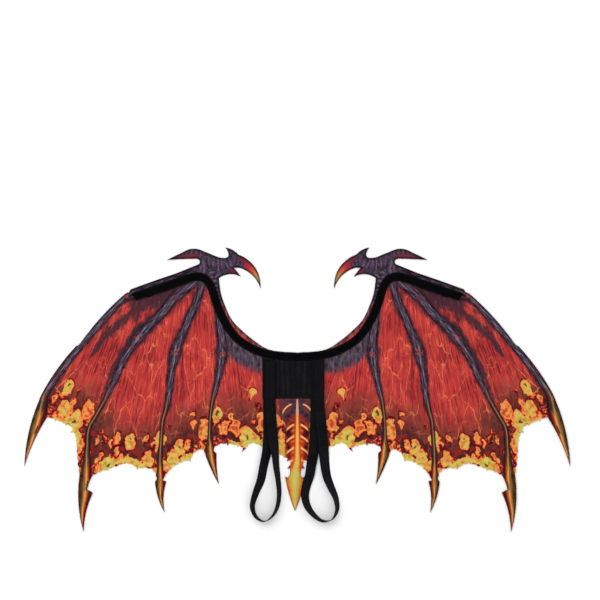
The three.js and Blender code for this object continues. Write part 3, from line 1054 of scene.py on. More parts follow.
@dataclass(frozen=True)
class BlackCloth:
    """A black woven cloth.

    Its rows of yarn follow the piece's own attribute 'weave': metres across, metres along, and how
    much lighter or darker the place is painted: a painted highlight where it would catch the light, or
    painted shade.
    """

    name: str
    dark: Colour
    light: Colour
    across_pitch: float
    along_pitch: float
    rough: float = 0.85
    gloss: float = 0.01
    relief: float = 0.00025

    def build(self) -> bpy.types.Material:
        """Yarns as sine waves across and along, with slubs and a little lint, made lighter or darker by the
        painted highlight and shade of the attribute's third number.

        Returns:
            The finished material.
        """
        s = Sketch(self.name)
        u, v, painted_light = s.parts("weave")
        across_wave = s.calc("SINE", s.calc("MULTIPLY", u, TAU / self.across_pitch))
        along_wave = s.calc("SINE", s.calc("MULTIPLY", v, TAU / self.along_pitch))
        yarn = s.calc("ADD", s.calc("ABSOLUTE", across_wave), s.calc("MULTIPLY", along_wave, 0.35))
        slub = s.noise(s.join(u, v), 260, 3, 0.6)
        level = s.calc("MULTIPLY", s.calc("ADD", yarn, slub), 0.5)
        colour = s.mix(s.rise(level, 0.25, 0.95), self.dark, self.light)
        cloud = s.noise(s.join(u, v), 45)
        # Painted highlight and shade: the third number of 'weave' makes the cloth lighter or darker.
        colour = s.scale(colour, s.blend((cloud, 1.0), (painted_light, 1.0), (1.0, 0.5)))
        s.bump(s.calc("ADD", yarn, s.calc("MULTIPLY", slub, 0.6)), self.relief, 0.6)
        rough = s.calc("ADD", s.calc("MULTIPLY", slub, 0.1), self.rough - 0.05)
        return s.finish(colour, rough, self.gloss)


BINDING_CLOTH = BlackCloth(
    "binding_twill", rgb(3, 3, 3), rgb(14, 14, 16), across_pitch=0.0011, along_pitch=0.0008
)
PANEL_CLOTH = BlackCloth(
    "panel_weave", rgb(8, 8, 9), rgb(28, 28, 30), across_pitch=0.0013, along_pitch=0.0009
)
ELASTIC_CLOTH = BlackCloth(
    "elastic_weave",
    rgb(6, 6, 7),
    rgb(29, 29, 32),
    across_pitch=0.0032,
    along_pitch=0.0011,
    rough=0.72,
    relief=0.0004,
)
THREAD_CLOTH = BlackCloth(
    "thread_twist", rgb(16, 16, 17), rgb(52, 52, 56), across_pitch=0.0006, along_pitch=0.0006, rough=0.6
)


def dress(
    piece: bpy.types.Object, cloth: BlackCloth, replaced: Optional[str] = None
) -> None:
    """Gives a piece its cloth, and hides the CAD node that it replaces.

    Args:
        piece: The piece.
        cloth: Its finish, built once and then shared.
        replaced: The CAD node that it replaces, if any.
    """
    piece.data.materials.append(bpy.data.materials.get(cloth.name) or cloth.build())
    if replaced:
        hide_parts(replaced)


class Family(Enum):
    """What a drawn line of the print belongs to."""

    BONE = "bone"
    HEAD = "head"
    TAIL = "tail"
    SHADE = "shade"
    ROOT = "root"
    NECK = "neck"
    DUSK = "dusk"


@dataclass(frozen=True)
class PrintedLine:
    """One line of the print, on the sheet's grid.

    Each row is a place out and down, the half width there, and a tone: horn on a bone, glow on a
    wrist head.
    """

    family: Family
    rows: tuple[tuple[float, float, float, float], ...]

    def read(self, points: np.ndarray) -> dict[str, np.ndarray]:
        """Where points lie about the line: the distance to it over its half width, by its nearest part.

        Args:
            points: Places as metres out from the axis and metres up.

        Returns:
            q, side, along and tone for each point.
        """
        table = smooth_line(np.array(self.rows), 5, Knots.CENTRIPETAL)
        line = on_sheet(table)
        half = np.maximum(table[:, 2], 0.2) * STEP
        length = arc_length(line)
        start, chord = line[:-1], np.diff(line, axis=0)
        square = (chord**2).sum(1)
        apart = points[:, None, :] - start[None]
        share = np.clip((apart * chord).sum(-1) / square, 0, 1)
        off = apart - share[..., None] * chord
        width = half[:-1] + share * np.diff(half)
        q = np.linalg.norm(off, axis=-1) / width
        best = q.argmin(1)
        row = np.arange(len(points))
        turn = chord[best, 0] * off[row, best, 1] - chord[best, 1] * off[row, best, 0]
        share = share[row, best]
        return {
            "q": q[row, best],
            "side": np.clip(np.sign(turn) * q[row, best], -1.5, 1.5),
            "along": length[best] + share * np.diff(length)[best],
            "tone": np.clip(table[best, 3] + share * np.diff(table[:, 3])[best], 0, 1),
        }


FIRST_BONE = (
    (98, 25, 5, 0), (121, 33, 6.5, 0), (164, 47, 6, 0), (172, 50, 4, 0), (194, 73, 3.2, 0),
    (216, 97.5, 3.4, 0), (236, 124, 3, 0.05), (252, 147, 4, 0.3), (257, 166, 6.4, 0.85),
    (264.3, 190, 5, 1), (269.6, 207, 3, 1), (272.8, 219.5, 0.6, 1),
)
SECOND_BONE = (
    (102, 34, 4, 0), (122, 50, 4.8, 0), (132, 62, 4.6, 0), (147, 78, 4.2, 0), (157, 88, 5.4, 0),
    (164, 97, 4.2, 0), (172, 110, 3.6, 0), (185, 138, 2.9, 0.05), (194, 156, 2.4, 0.35),
    (202, 170, 2.2, 0.55), (208, 181, 2.4, 0.6), (210, 203, 3, 0.7), (211, 228, 5.6, 1),
    (212, 245, 6.6, 1), (214.6, 262, 4.2, 1), (215, 275, 2.2, 1), (213.6, 285, 0.5, 1),
)
THIRD_BONE = (
    (95, 36, 3, 0), (100, 53, 3.6, 0), (107, 68, 3.8, 0), (113, 83, 3.8, 0), (121, 103, 5, 0),
    (125, 120, 3.8, 0), (128, 145, 3.2, 0.05), (131.5, 163, 2.6, 0.4), (134.5, 175, 2.2, 0.6),
    (136, 193, 2.2, 0.65), (137, 212, 2.6, 0.7), (137, 226, 3.6, 0.95), (137, 237, 5, 1),
    (136.6, 251, 3, 1), (132.6, 265.6, 0.5, 1),
)
FOURTH_BONE = (
    (83, 46, 3.2, 0), (79.5, 62, 3.3, 0), (77.5, 78, 3.8, 0), (75.5, 92, 4.2, 0), (75, 107, 5.2, 0),
    (78, 123, 3.7, 0), (82, 143, 2.8, 0.05), (85, 156, 2, 0.5), (87, 172, 1.8, 0.6),
    (87.5, 188, 2.2, 0.65), (87, 201, 4.6, 0.95), (85.6, 212, 5, 1), (82, 226, 2.4, 1),
    (78.3, 237.5, 0.5, 1),
)
HEAD_CROWN = ((100, 20, 9, 0), (88, 18, 14, 0), (74, 18, 11, 0), (64, 14, 8, 0.02))
FRONT_HORN = (
    (62, 13, 7.5, 0.05), (53, 16, 6.5, 0.27), (46.5, 21.5, 5, 0.48), (41.5, 28.5, 4, 0.7),
    (38.3, 36, 2.6, 0.9), (36.8, 41.5, 0.8, 0.97),
)
REAR_HORN = (
    (94, 8, 6, 0), (101, 7, 5.6, 0.2), (113, 8, 4.2, 0.24), (122, 10.3, 2.4, 0.14), (130.5, 13, 0.6, 0),
)
HEAD_NECK = ((84, 22, 9, 0), (81, 33, 7, 0), (78.5, 44, 5, 0), (75.5, 54, 2.5, 0))
HEAD_JAW = ((68, 24, 4.5, 0.1), (62, 26, 3.4, 0.34), (56.3, 29.8, 0.8, 0.2))
HEAD_SPUR = ((65, 8, 5, 0), (69, 4.5, 3.6, 0.02), (72, 0.5, 0.8, 0))
TAIL_SPINE = (
    (0, 148, 0.5, 0), (0, 165, 1.4, 0), (0, 190, 2.6, 0), (0, 208, 3.4, 0), (0, 222, 5.4, 0),
    (0, 230, 9.8, 0), (0, 243, 7.2, 0), (0, 253, 4.6, 0), (0, 264, 0.6, 0),
)
OUTER_SHADE = (
    (122, 46, 8, 0), (146, 55, 12, 0), (166, 66, 13, 0), (184, 82, 9, 0), (198, 98, 5, 0), (207, 110, 1, 0),
)
INNER_SHADE = ((148, 72, 6, 0), (164, 90, 8, 0), (180, 114, 6, 0), (191, 138, 3, 0), (199, 156, 0.8, 0))
WING_ROOT = (
    (83, 48, 4, 0), (79, 62, 6, 0), (74, 78, 8, 0), (68, 92, 10, 0), (60, 104, 12, 0), (46, 112, 13, 0),
    (30, 116, 13, 0), (-12, 117, 13, 0),
)
NECK_RIM = (
    (-4, 104.5, 4, 0), (14, 104, 4, 0), (27, 102, 4, 0), (44, 92.5, 4, 0), (57, 81, 4, 0),
    (65, 71.5, 4, 0), (71.5, 58, 4, 0), (75.5, 46, 4, 0), (77.5, 34, 3, 0),
)
ARM_DUSK = ((84, 24, 9, 0), (98, 24, 9, 0), (122, 30, 10, 0), (166, 47, 9, 0), (173, 52, 2, 0))
KNUCKLES = ((172, 48), (257, 150), (159, 90), (122, 105), (75, 107))
HEM_LINE = (
    (259, 164), (248, 169), (231, 176.5), (222, 188), (219, 210), (217.5, 230), (211, 236),
    (204.5, 228), (190, 221.5), (173, 215.5), (159, 220), (146, 221.5), (139, 230), (129, 225),
    (120, 216), (108, 212), (98, 202), (90, 203), (82, 200), (70, 195.5), (53, 200), (44, 195),
    (28, 201), (9, 211), (0, 216),
)
BINDING_ROWS = (
    (0, 110), (17, 109), (32, 106.5), (46, 101), (59, 92.5), (68, 82), (75, 70), (80.5, 57),
    (84.5, 44.5), (88.5, 35.5), (95, 30.3), (103, 29.8), (117, 34.3), (137, 41.3), (163.5, 49.8),
)

PRINT = (
    PrintedLine(Family.BONE, FIRST_BONE),
    PrintedLine(Family.BONE, SECOND_BONE),
    PrintedLine(Family.BONE, THIRD_BONE),
    PrintedLine(Family.BONE, FOURTH_BONE),
    PrintedLine(Family.HEAD, HEAD_CROWN),
    PrintedLine(Family.HEAD, FRONT_HORN),
    PrintedLine(Family.HEAD, REAR_HORN),
    PrintedLine(Family.HEAD, HEAD_NECK),
    PrintedLine(Family.HEAD, HEAD_JAW),
    PrintedLine(Family.HEAD, HEAD_SPUR),
    PrintedLine(Family.TAIL, TAIL_SPINE),
    PrintedLine(Family.SHADE, OUTER_SHADE),
    PrintedLine(Family.SHADE, INNER_SHADE),
    PrintedLine(Family.ROOT, WING_ROOT),
    PrintedLine(Family.NECK, NECK_RIM),
    PrintedLine(Family.DUSK, ARM_DUSK),
)


@dataclass
class PrintedWings:
    """The felt sheet of both wings, with its print."""

    grid: float = 0.0031
    edge_step: float = 0.0036
    lift: float = 0.0013
    fan_origin: tuple[float, float] = (98, -170)
    tail_half: float = 12
    lean_rows: tuple[float, float] = (211, 228)
    tail_top: float = 150
    knuckle_reach: float = 5
    far: float = 6
    inks: PrintInks = PrintInks()

    def outline(self) -> tuple[np.ndarray, np.ndarray]:
        """The sheet's edge, read from the face of the CAD sheet.

        Returns:
            The starts and the ends of short segments.
        """
        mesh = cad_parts["wing_sheet"].data
        corners = np.empty(len(mesh.vertices) * 3)
        mesh.vertices.foreach_get("co", corners)
        index = np.empty(len(mesh.loops), int)
        mesh.loops.foreach_get("vertex_index", index)
        triangles = corners.reshape(-1, 3)[index].reshape(-1, 3, 3)
        top = triangles[(triangles[:, :, 2] > SHEET_THICK * 0.9).all(1)][:, :, :2]
        places, number = np.unique(np.round(top.reshape(-1, 2), 6), axis=0, return_inverse=True)
        number = number.reshape(-1, 3)
        edges = np.sort(np.vstack([number[:, [0, 1]], number[:, [1, 2]], number[:, [2, 0]]]), axis=1)
        edges, uses = np.unique(edges, axis=0, return_counts=True)
        edges = edges[uses == 1]
        starts, ends = places[edges[:, 0]], places[edges[:, 1]]
        pieces = np.ceil(np.linalg.norm(ends - starts, axis=1) / self.edge_step).astype(int)
        pieces = np.maximum(pieces, 1)
        number = np.repeat(np.arange(len(pieces)), pieces)
        step = np.arange(len(number)) - np.repeat(np.cumsum(pieces) - pieces, pieces)
        chord = (ends - starts)[number] / pieces[number][:, None]
        return starts[number] + chord * step[:, None], starts[number] + chord * (step[:, None] + 1)

    def ground(self, starts: np.ndarray, ends: np.ndarray) -> tuple[np.ndarray, np.ndarray]:
        """Cuts a staggered grid of points to the outline and joins it to triangles.

        Args:
            starts: Starts of the outline's segments.
            ends: Their ends.

        Returns:
            Places in the plane, and triangles that face up.
        """
        low, high = starts.min(0), starts.max(0)
        xs = np.arange(low[0], high[0], self.grid)
        ys = np.arange(low[1], high[1], self.grid * 0.866)
        gx, gy = np.meshgrid(xs, ys)
        gx = gx + (np.arange(len(ys)) % 2)[:, None] * self.grid / 2
        points = np.stack([gx.ravel(), gy.ravel()], 1)
        points = points[inside_outline(points, starts, ends)]
        points = points[segment_distance(points, starts, ends) > self.grid * 0.45]
        rim, number = np.unique(np.round(np.vstack([starts, ends]), 7), axis=0, return_inverse=True)
        edges = number.reshape(2, -1).T
        everything = [Vector(p) for p in np.vstack([rim, points]).tolist()]
        places, _, faces, *_ = delaunay_2d_cdt(everything, edges.tolist(), [], 1, 1e-7)
        places = np.array([tuple(p) for p in places])
        faces = np.array(faces)
        turned = self.doubled_areas(places, faces) < 0
        faces[turned] = faces[turned][:, ::-1]
        return places, faces

    def doubled_areas(self, places: np.ndarray, faces: np.ndarray) -> np.ndarray:
        """Twice each triangle's area, negative where it runs clockwise.

        Args:
            places: Places in the plane.
            faces: Three corner numbers a triangle.

        Returns:
            One number a triangle.
        """
        a, b, c = (places[faces[:, k]] for k in range(3))
        return (b[:, 0] - a[:, 0]) * (c[:, 1] - a[:, 1]) - (b[:, 1] - a[:, 1]) * (c[:, 0] - a[:, 0])

    def waves(self, places: np.ndarray) -> np.ndarray:
        """How far the felt stands off the floor: slow sine waves that die out by what is sewn on it.

        Args:
            places: Points of the sheet in the plane.

        Returns:
            A height a point.
        """
        x, y = places.T
        wave = np.sin(31 * x + 9 * y) * np.sin(23 * y - 6 * x) + 0.5 * np.sin(57 * x - 21 * y)
        free = ease(np.abs(x - PANEL_OFFSET), 0.1, 0.17)
        line = BindingBand().centre_line()[:, :2]
        free = free * ease(segment_distance(places, line[:-1], line[1:]), 0.012, 0.05)
        return self.lift * free * np.clip(0.4 + 0.4 * wave, 0, 1)

    def print_fields(
        self, places: np.ndarray, starts: np.ndarray, ends: np.ndarray
    ) -> dict[str, np.ndarray]:
        """What the print needs to know at each point: its distances and places along drawn lines.

        Args:
            places: Points of the sheet in the plane.
            starts: Starts of the outline's segments.
            ends: Their ends.

        Returns:
            Three numbers a point for each attribute.
        """
        y = places[:, 1]
        lean = TAIL_LEAN * ease(-y, *(-float(upward(row)) for row in self.lean_rows))
        near_axis = np.abs(places[:, 0]) < across(self.tail_half)
        out = np.abs(places[:, 0] - lean * near_axis)
        spots = np.stack([out, y], 1)
        read = {family: self.nearest(family, spots) for family in Family}
        bone, head, tail = (read[f] for f in (Family.BONE, Family.HEAD, Family.TAIL))
        shade, root, neck, dusk = (
            read[f]["q"] for f in (Family.SHADE, Family.ROOT, Family.NECK, Family.DUSK)
        )
        hem_line = on_sheet(HEM_LINE)
        hem = segment_distance(spots, hem_line[:-1], hem_line[1:])
        rim = segment_distance(places, starts, ends)
        ray = spots - on_sheet([self.fan_origin])
        theta, radius = np.arctan2(ray[:, 0], -ray[:, 1]), np.linalg.norm(ray, axis=1)
        fields = {
            "bone": (np.minimum(bone["q"], self.far), bone["side"], bone["along"]),
            "coat": (bone["tone"], np.minimum(head["q"], self.far), head["tone"]),
            "place": (hem, rim, np.clip(1 - shade, 0, 1)),
            "fan": (theta, radius, np.clip(1 - root, -1, 1)),
            "tail": (np.minimum(tail["q"], self.far), out, float(upward(self.tail_top)) - y),
            "ring": (head["along"], head["side"], 1 - neck),
            "dusk": (self.knuckles(spots), 0 * out, np.clip(1.4 - dusk, 0, 1)),
        }
        return {name: np.stack(numbers, 1) for name, numbers in fields.items()}

    def knuckles(self, spots: np.ndarray) -> np.ndarray:
        """How near each spot is to a knuckle: a bell that falls as exp(-r squared) about each.

        Args:
            spots: Places as metres out from the axis and metres up.

        Returns:
            1 at a knuckle, falling to 0.
        """
        far = np.linalg.norm(spots[:, None, :] - on_sheet(KNUCKLES)[None], axis=-1).min(1)
        return np.exp(-((far / (self.knuckle_reach * STEP)) ** 2))

    def nearest(self, family: Family, spots: np.ndarray) -> dict[str, np.ndarray]:
        """The readings of the nearest line of a family at each spot.

        Args:
            family: The family.
            spots: Places as metres out from the axis and metres up.

        Returns:
            q, side, along and tone for each spot.
        """
        reads = [line.read(spots) for line in PRINT if line.family is family]
        best = np.argmin([r["q"] for r in reads], axis=0)
        return {key: np.choose(best, [r[key] for r in reads]) for key in reads[0]}

    def build(self) -> list[bpy.types.Object]:
        """Makes the sheet as two faces a felt's thickness apart, joined round the rim.

        Returns:
            The sheet.
        """
        starts, ends = self.outline()
        places, faces = self.ground(starts, ends)
        base = self.waves(places)
        skins = [np.column_stack([places, base + rise]) for rise in (0, SHEET_THICK)]
        edges = np.vstack([faces[:, [0, 1]], faces[:, [1, 2]], faces[:, [2, 0]]])
        _, first, uses = np.unique(np.sort(edges, axis=1), axis=0, return_index=True, return_counts=True)
        rim = edges[first[uses == 1]]
        fields = self.print_fields(places, starts, ends)
        both = {name: np.vstack([values, values]) for name, values in fields.items()}
        solid = two_sided(faces, rim, len(places))
        piece = make_piece("printed_wings", np.vstack(skins), solid, both, smooth=False)
        piece.data.materials.append(WingPrint(self.inks).build())
        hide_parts("wing_sheet")
        return [piece]


@dataclass
class BindingBand:
    """The raised black binding along the neck and both arms."""

    width: float = 0.016
    edge: float = 0.0012
    crown: float = 0.0026
    slant: float = 0.35
    slant_reach: float = 0.004
    groove: float = 0.00035
    groove_place: float = 0.78
    pucker_pitch: float = 0.0072
    swell_pitch: float = 0.043
    stitch_inset: float = 0.0018

    def centre_line(self) -> np.ndarray:
        """The middle of the band from the left arm's end to the right arm's end.

        Returns:
            Its points, on the sheet's face.
        """
        side = on_sheet(BINDING_ROWS)
        both = np.vstack([side[:0:-1] * [-1, 1], side])
        line = even_line(smooth_line(both, 24, Knots.CENTRIPETAL), 0.0016)
        return np.column_stack([line, np.full(len(line), SHEET_TOP)])

    def section(self) -> np.ndarray:
        """Half a lens: height rises from the edges to the crown as a cosine, with a channel by each edge.

        Returns:
            Places across the band and heights over the sheet.
        """
        share = np.linspace(-1, 1, 25)
        dome = self.edge + (self.crown - self.edge) * np.cos(share * math.pi / 2) ** 1.2
        groove = self.groove * np.exp(-(((np.abs(share) - self.groove_place) / 0.06) ** 2))
        top = np.column_stack([share * self.width / 2, dome - groove])
        return np.vstack([[[self.width / 2, 0]], top[::-1], [[-self.width / 2, 0]]])

    def build(self) -> list[bpy.types.Object]:
        """Carries the section along the centre line, puckered a little by its stitches.

        Returns:
            The band and its stitches.
        """
        line = self.centre_line()
        length = arc_length(line)
        along = unit(np.gradient(line, axis=0))
        side = np.column_stack([rightward(along), 0 * along[:, 0]])
        section = self.section()
        middle = length[-1] / 2
        end = np.sign(length - middle) * ease(np.abs(length - middle), middle - self.slant_reach, middle)
        pucker = 1 + 0.035 * np.sin(length * TAU / self.pucker_pitch)
        pucker = pucker + 0.03 * np.sin(length * TAU / self.swell_pitch)
        offset = section[None, :, 0]
        slide = (-end * self.slant)[:, None] * offset
        height = section[None, :, 1] * np.minimum(pucker, 1.02)[:, None]
        points = line[:, None, :] + side[:, None, :] * offset[..., None]
        points = points + along[:, None, :] * slide[..., None]
        points[..., 2] += height
        places = [np.broadcast_to(values, height.shape) for values in (offset, length[:, None])]
        weave = np.stack([*places, 0 * height], -1)
        band = make_piece(
            "binding_band",
            points.reshape(-1, 3),
            swept_faces(len(line), len(section)),
            {"weave": weave.reshape(-1, 3)},
        )
        dress(band, BINDING_CLOTH, "edge_binding")
        reach = self.width / 2 - self.stitch_inset
        rows = [line[3:-3] + side[3:-3] * r + [0, 0, self.edge + 0.0002] for r in (-reach, reach)]
        stitches = Thread().sew("binding_stitches", rows)
        dress(stitches, THREAD_CLOTH)
        return [band, stitches]


@dataclass
class NapePanel:
    """The black gathered panel below the binding, between the loops."""

    width: float = 0.119
    thick: float = 0.0013
    rib: float = 0.0005
    ribs: int = 11
    per_rib: int = 15
    rows: int = 60
    hem_row: float = 151.7
    hem_fold: float = 0.0075
    sewn_half: float = 0.033

    def top_edge(self, x: np.ndarray) -> np.ndarray:
        """The binding's lower edge above each place, less a seam's gap.

        Args:
            x: Places across the span.

        Returns:
            The edge's y there.
        """
        band = BindingBand()
        line = band.centre_line()
        line = line[np.abs(line[:, 0]) < 0.09]
        slope = np.gradient(line[:, 1], line[:, 0])
        edge = line[:, 1] - band.width / 2 * np.sqrt(1 + slope**2)
        return np.interp(x, line[:, 0], edge) - 2 * LAYER_GAP

    def surface(self) -> tuple[np.ndarray, np.ndarray]:
        """The panel's face: ribs as squared sines, which fade by the hem, where the fold is thicker.

        Returns:
            A grid of points from the hem up, and the light that each place catches.
        """
        u = np.linspace(0, 1, self.per_rib * self.ribs + 1)[None, :]
        v = np.linspace(0, 1, self.rows)[:, None]
        x = PANEL_OFFSET + self.width * (u - 0.5) + 0 * v
        bottom = float(upward(self.hem_row))
        top = self.top_edge(x[0])[None, :]
        y = bottom + (top - bottom) * v
        sway = 0.16 * np.sin(3 * v + 11 * u) + 0.3 * np.sin(5 * v + 31 * u) * u * (1 - u)
        gather = np.sin(math.pi * (self.ribs * u + sway)) ** 2
        fold = ease(y - bottom, self.hem_fold + 0.0008, self.hem_fold - 0.0004)
        seam = np.exp(-(((y - bottom - self.hem_fold) / 0.0006) ** 2))
        face = self.thick + self.rib * gather * (1 - 0.75 * fold) + 0.0002 * fold - 0.0004 * seam
        rim = np.minimum(np.minimum(u, 1 - u) * self.width, np.minimum(y - bottom, (top - y)))
        face = face - 0.0005 * (1 - ease(rim, 0, 0.0012))
        # Painted highlight on the rib crests and the fold, painted shade along the seam.
        painted_light = 0.7 * gather * (0.7 + 0.3 * np.sin(19 * u + 2 * v)) * (1 - fold) + 0.3 * fold - 0.6 * seam
        return np.stack([x, y, SHEET_TOP + face], -1), painted_light

    def stitch_lines(self) -> list[np.ndarray]:
        """Two rows of stitches between the loops, along the hem's fold and under the binding.

        Returns:
            Their lines.
        """
        lift = SHEET_TOP + self.thick + 0.00015
        xs = np.linspace(PANEL_OFFSET - self.sewn_half, PANEL_OFFSET + self.sewn_half, 40)
        hem = np.full(40, float(upward(self.hem_row)) + self.hem_fold)
        return [
            np.column_stack([xs, hem, np.full(40, lift)]),
            np.column_stack([xs, self.top_edge(xs) - 0.0022, np.full(40, lift + 0.0002)]),
        ]

    def build(self) -> list[bpy.types.Object]:
        """Makes the panel as its face over a flat back, joined round the rim.

        Returns:
            The panel and its stitches.
        """
        face, painted_light = self.surface()
        rows, columns = painted_light.shape
        upper = face.reshape(-1, 3)
        lower = upper * [1, 1, 0] + [0, 0, SHEET_TOP]
        index = np.arange(rows * columns).reshape(rows, columns)
        ring = np.concatenate([index[0], index[1:, -1], index[-1, -2::-1], index[-2:0:-1, 0]])
        rim = np.column_stack([ring, np.roll(ring, -1)])
        faces = two_sided(grid_faces(rows, columns, False), rim, rows * columns)
        weave = np.column_stack([upper[:, :2], painted_light.reshape(-1)])
        both = {"weave": np.vstack([weave, weave])}
        panel = make_piece("nape_panel", np.vstack([lower, upper]), faces, both)
        dress(panel, PANEL_CLOTH, "centre_pad")
        stitches = Thread().sew("panel_stitches", self.stitch_lines())
        dress(stitches, THREAD_CLOTH)
        return [panel, stitches]


class Layer(Enum):
    """What lies under a strap's lower edge, as a height over the floor."""

    FLOOR = 0.0
    SHEET = SHEET_TOP
    SHEET_LEG = SHEET_TOP + 0.0016
    PANEL = SHEET_TOP + 0.0018 + LAYER_GAP
    PANEL_LEG = SHEET_TOP + 0.0018 + LAYER_GAP + 0.0016


LEFT_ROWS = (
    (-25.1, 113.4, 0, Layer.PANEL),
    (-25.1, 132, 0, Layer.PANEL),
    (-25.1, 152.5, 0, Layer.PANEL),
    (-25, 165, 0, Layer.SHEET),
    (-25, 178, 1, Layer.SHEET),
    (-25.2, 192, 8, Layer.SHEET),
    (-26.8, 205, 30, Layer.SHEET),
    (-29.8, 219, 37, Layer.FLOOR),
    (-32.6, 233, 40, Layer.FLOOR),
    (-38, 247, 54, Layer.FLOOR),
    (-40.9, 259, 64, Layer.FLOOR),
    (-37.6, 269, 76, Layer.FLOOR),
    (-29.5, 274, 90, Layer.FLOOR),
    (-21.6, 269.5, 102, Layer.FLOOR),
    (-16.2, 260, 110, Layer.FLOOR),
    (-14.2, 247, 114, Layer.FLOOR),
    (-15.2, 233, 117, Layer.FLOOR),
    (-17.1, 219, 125, Layer.FLOOR),
    (-18.1, 208, 133, Layer.SHEET),
    (-20.2, 192, 162, Layer.SHEET_LEG),
    (-21.6, 178, 177, Layer.SHEET_LEG),
    (-22.6, 165, 180, Layer.SHEET_LEG),
    (-23.1, 152.5, 180, Layer.PANEL_LEG),
    (-23.1, 132, 180, Layer.PANEL_LEG),
    (-23.1, 113.4, 180, Layer.PANEL_LEG),
)
RIGHT_ROWS = (
    (22.4, 114.2, 0, Layer.PANEL),
    (22.4, 132, 0, Layer.PANEL),
    (22.4, 152.5, 0, Layer.PANEL),
    (22.2, 165, 0, Layer.SHEET),
    (21.9, 178, 0, Layer.SHEET),
    (21.4, 192, 4, Layer.SHEET),
    (20.2, 205, 12, Layer.SHEET),
    (18, 217, 20, Layer.SHEET),
    (16.2, 228, 26, Layer.SHEET),
    (12.8, 239, 33, Layer.SHEET),
    (11.6, 249, 42, Layer.SHEET),
    (14.2, 259, 52, Layer.FLOOR),
    (20.4, 267.5, 66, Layer.FLOOR),
    (29, 273.5, 80, Layer.FLOOR),
    (38.5, 272, 98, Layer.FLOOR),
    (43.6, 262.5, 112, Layer.FLOOR),
    (42.4, 251, 120, Layer.FLOOR),
    (37.6, 240, 132, Layer.FLOOR),
    (33.4, 229, 142, Layer.FLOOR),
    (31.4, 217, 152, Layer.FLOOR),
    (30.4, 205, 162, Layer.SHEET),
    (29.2, 192, 171, Layer.SHEET_LEG),
    (27.8, 178, 178, Layer.SHEET_LEG),
    (26.4, 165, 180, Layer.SHEET_LEG),
    (25.6, 152.5, 180, Layer.PANEL_LEG),
    (25.4, 132, 180, Layer.PANEL_LEG),
    (25.4, 114.2, 180, Layer.PANEL_LEG),
)


@dataclass
class ShoulderLoop:
    """One elastic loop: down from the panel, round on its edge, and back up.

    Each row is a place right of the panel's middle and down, in grid steps, the elastic's roll in
    degrees, and the layer under its lower edge.
    """

    name: str
    node: str
    rows: tuple[tuple[float, float, float, Layer], ...]
    width: float = 0.020
    thick: float = 0.0013
    per_span: int = 16
    sewn_row: float = 148.5
    sewn_inset: float = 0.003

    def section(self) -> np.ndarray:
        """A flat oblong with rounded edges and shallow ribs woven along it, as a cosine.

        Returns:
            Places across the elastic and through it, once round.
        """
        share = np.linspace(-1, 1, 29)
        half = self.thick / 2 * (1 - 0.35 * np.abs(share) ** 10)
        half = half * (1 - 0.07 * np.cos(share * math.pi * 7))
        half = np.minimum(half, self.thick / 2)
        top = np.column_stack([share * self.width / 2, half])
        return np.vstack([top[::-1], top * [1, -1]])

    def frames(self) -> tuple[np.ndarray, np.ndarray, np.ndarray]:
        """The loop's centre line, with the way across the elastic and the way out of its face.

        Returns:
            Centre points, unit vectors across, unit vectors through the thickness.
        """
        places = on_sheet([row[:2] for row in self.rows]) + [PANEL_OFFSET, 0]
        line = smooth_line(places, self.per_span)
        roll = smooth_line(np.array([[float(row[2])] for row in self.rows]), self.per_span, tension=0.4)
        angle = np.radians(roll[:, 0])
        levels = np.array([row[3].value for row in self.rows])
        place = np.arange(len(line)) / self.per_span
        low = np.minimum(place.astype(int), len(levels) - 2)
        level = levels[low] + (levels[low + 1] - levels[low]) * ease(place - low, 0, 1)
        reach = self.width / 2 * np.abs(np.sin(angle)) + self.thick / 2 * np.abs(np.cos(angle))
        centre = np.column_stack([line, level + reach])
        side = rightward(unit(np.gradient(line, axis=0)))
        wide = np.column_stack([side * np.cos(angle)[:, None], np.sin(angle)])
        thick = np.column_stack([-side * np.sin(angle)[:, None], np.cos(angle)])
        return centre, wide, thick

    def stitch_lines(self, end: np.ndarray) -> list[np.ndarray]:
        """The four sides of the sewn box on the loop's upper leg.

        Args:
            end: The last point of the loop's centre line.

        Returns:
            Their lines.
        """
        reach = self.width / 2 - self.sewn_inset
        left, right = end[0] - reach, end[0] + reach
        high, low = end[1] - 0.004, float(upward(self.sewn_row))
        corners = np.array([[left, high], [right, high], [right, low], [left, low], [left, high]])
        box = np.column_stack([corners, np.full(5, end[2] + self.thick / 2 + 0.0001)])
        return [even_line(box[k : k + 2], 0.001) for k in range(4)]

    def build(self) -> list[bpy.types.Object]:
        """Carries the woven section along the loop, with a painted sheen where it turns on its edge, and
        sews its ends to the panel.

        Returns:
            The loop and its stitches.
        """
        centre, wide, thick = self.frames()
        section = self.section()
        points = (
            centre[:, None, :]
            + wide[:, None, :] * section[None, :, 0, None]
            + thick[:, None, :] * section[None, :, 1, None]
        )
        length = arc_length(centre)
        shape = points.shape[:2]
        rim = ease(np.abs(section[:, 0]), self.width / 2 - 0.0016, self.width / 2)
        # Painted sheen where the elastic turns up on its edge; darker along both edges of the elastic.
        painted_light = 1.2 * np.abs(wide[:, None, 2]) ** 2 - 0.35 * rim[None, :]
        places = [np.broadcast_to(values, shape) for values in (section[None, :, 0], length[:, None])]
        weave = np.stack([*places, painted_light], -1).reshape(-1, 3)
        loop = make_piece(self.name, points.reshape(-1, 3), swept_faces(*shape), {"weave": weave})
        dress(loop, ELASTIC_CLOTH, self.node)
        stitches = Thread().sew(f"{self.name}_stitches", self.stitch_lines(centre[-1]))
        dress(stitches, THREAD_CLOTH)
        return [loop, stitches]


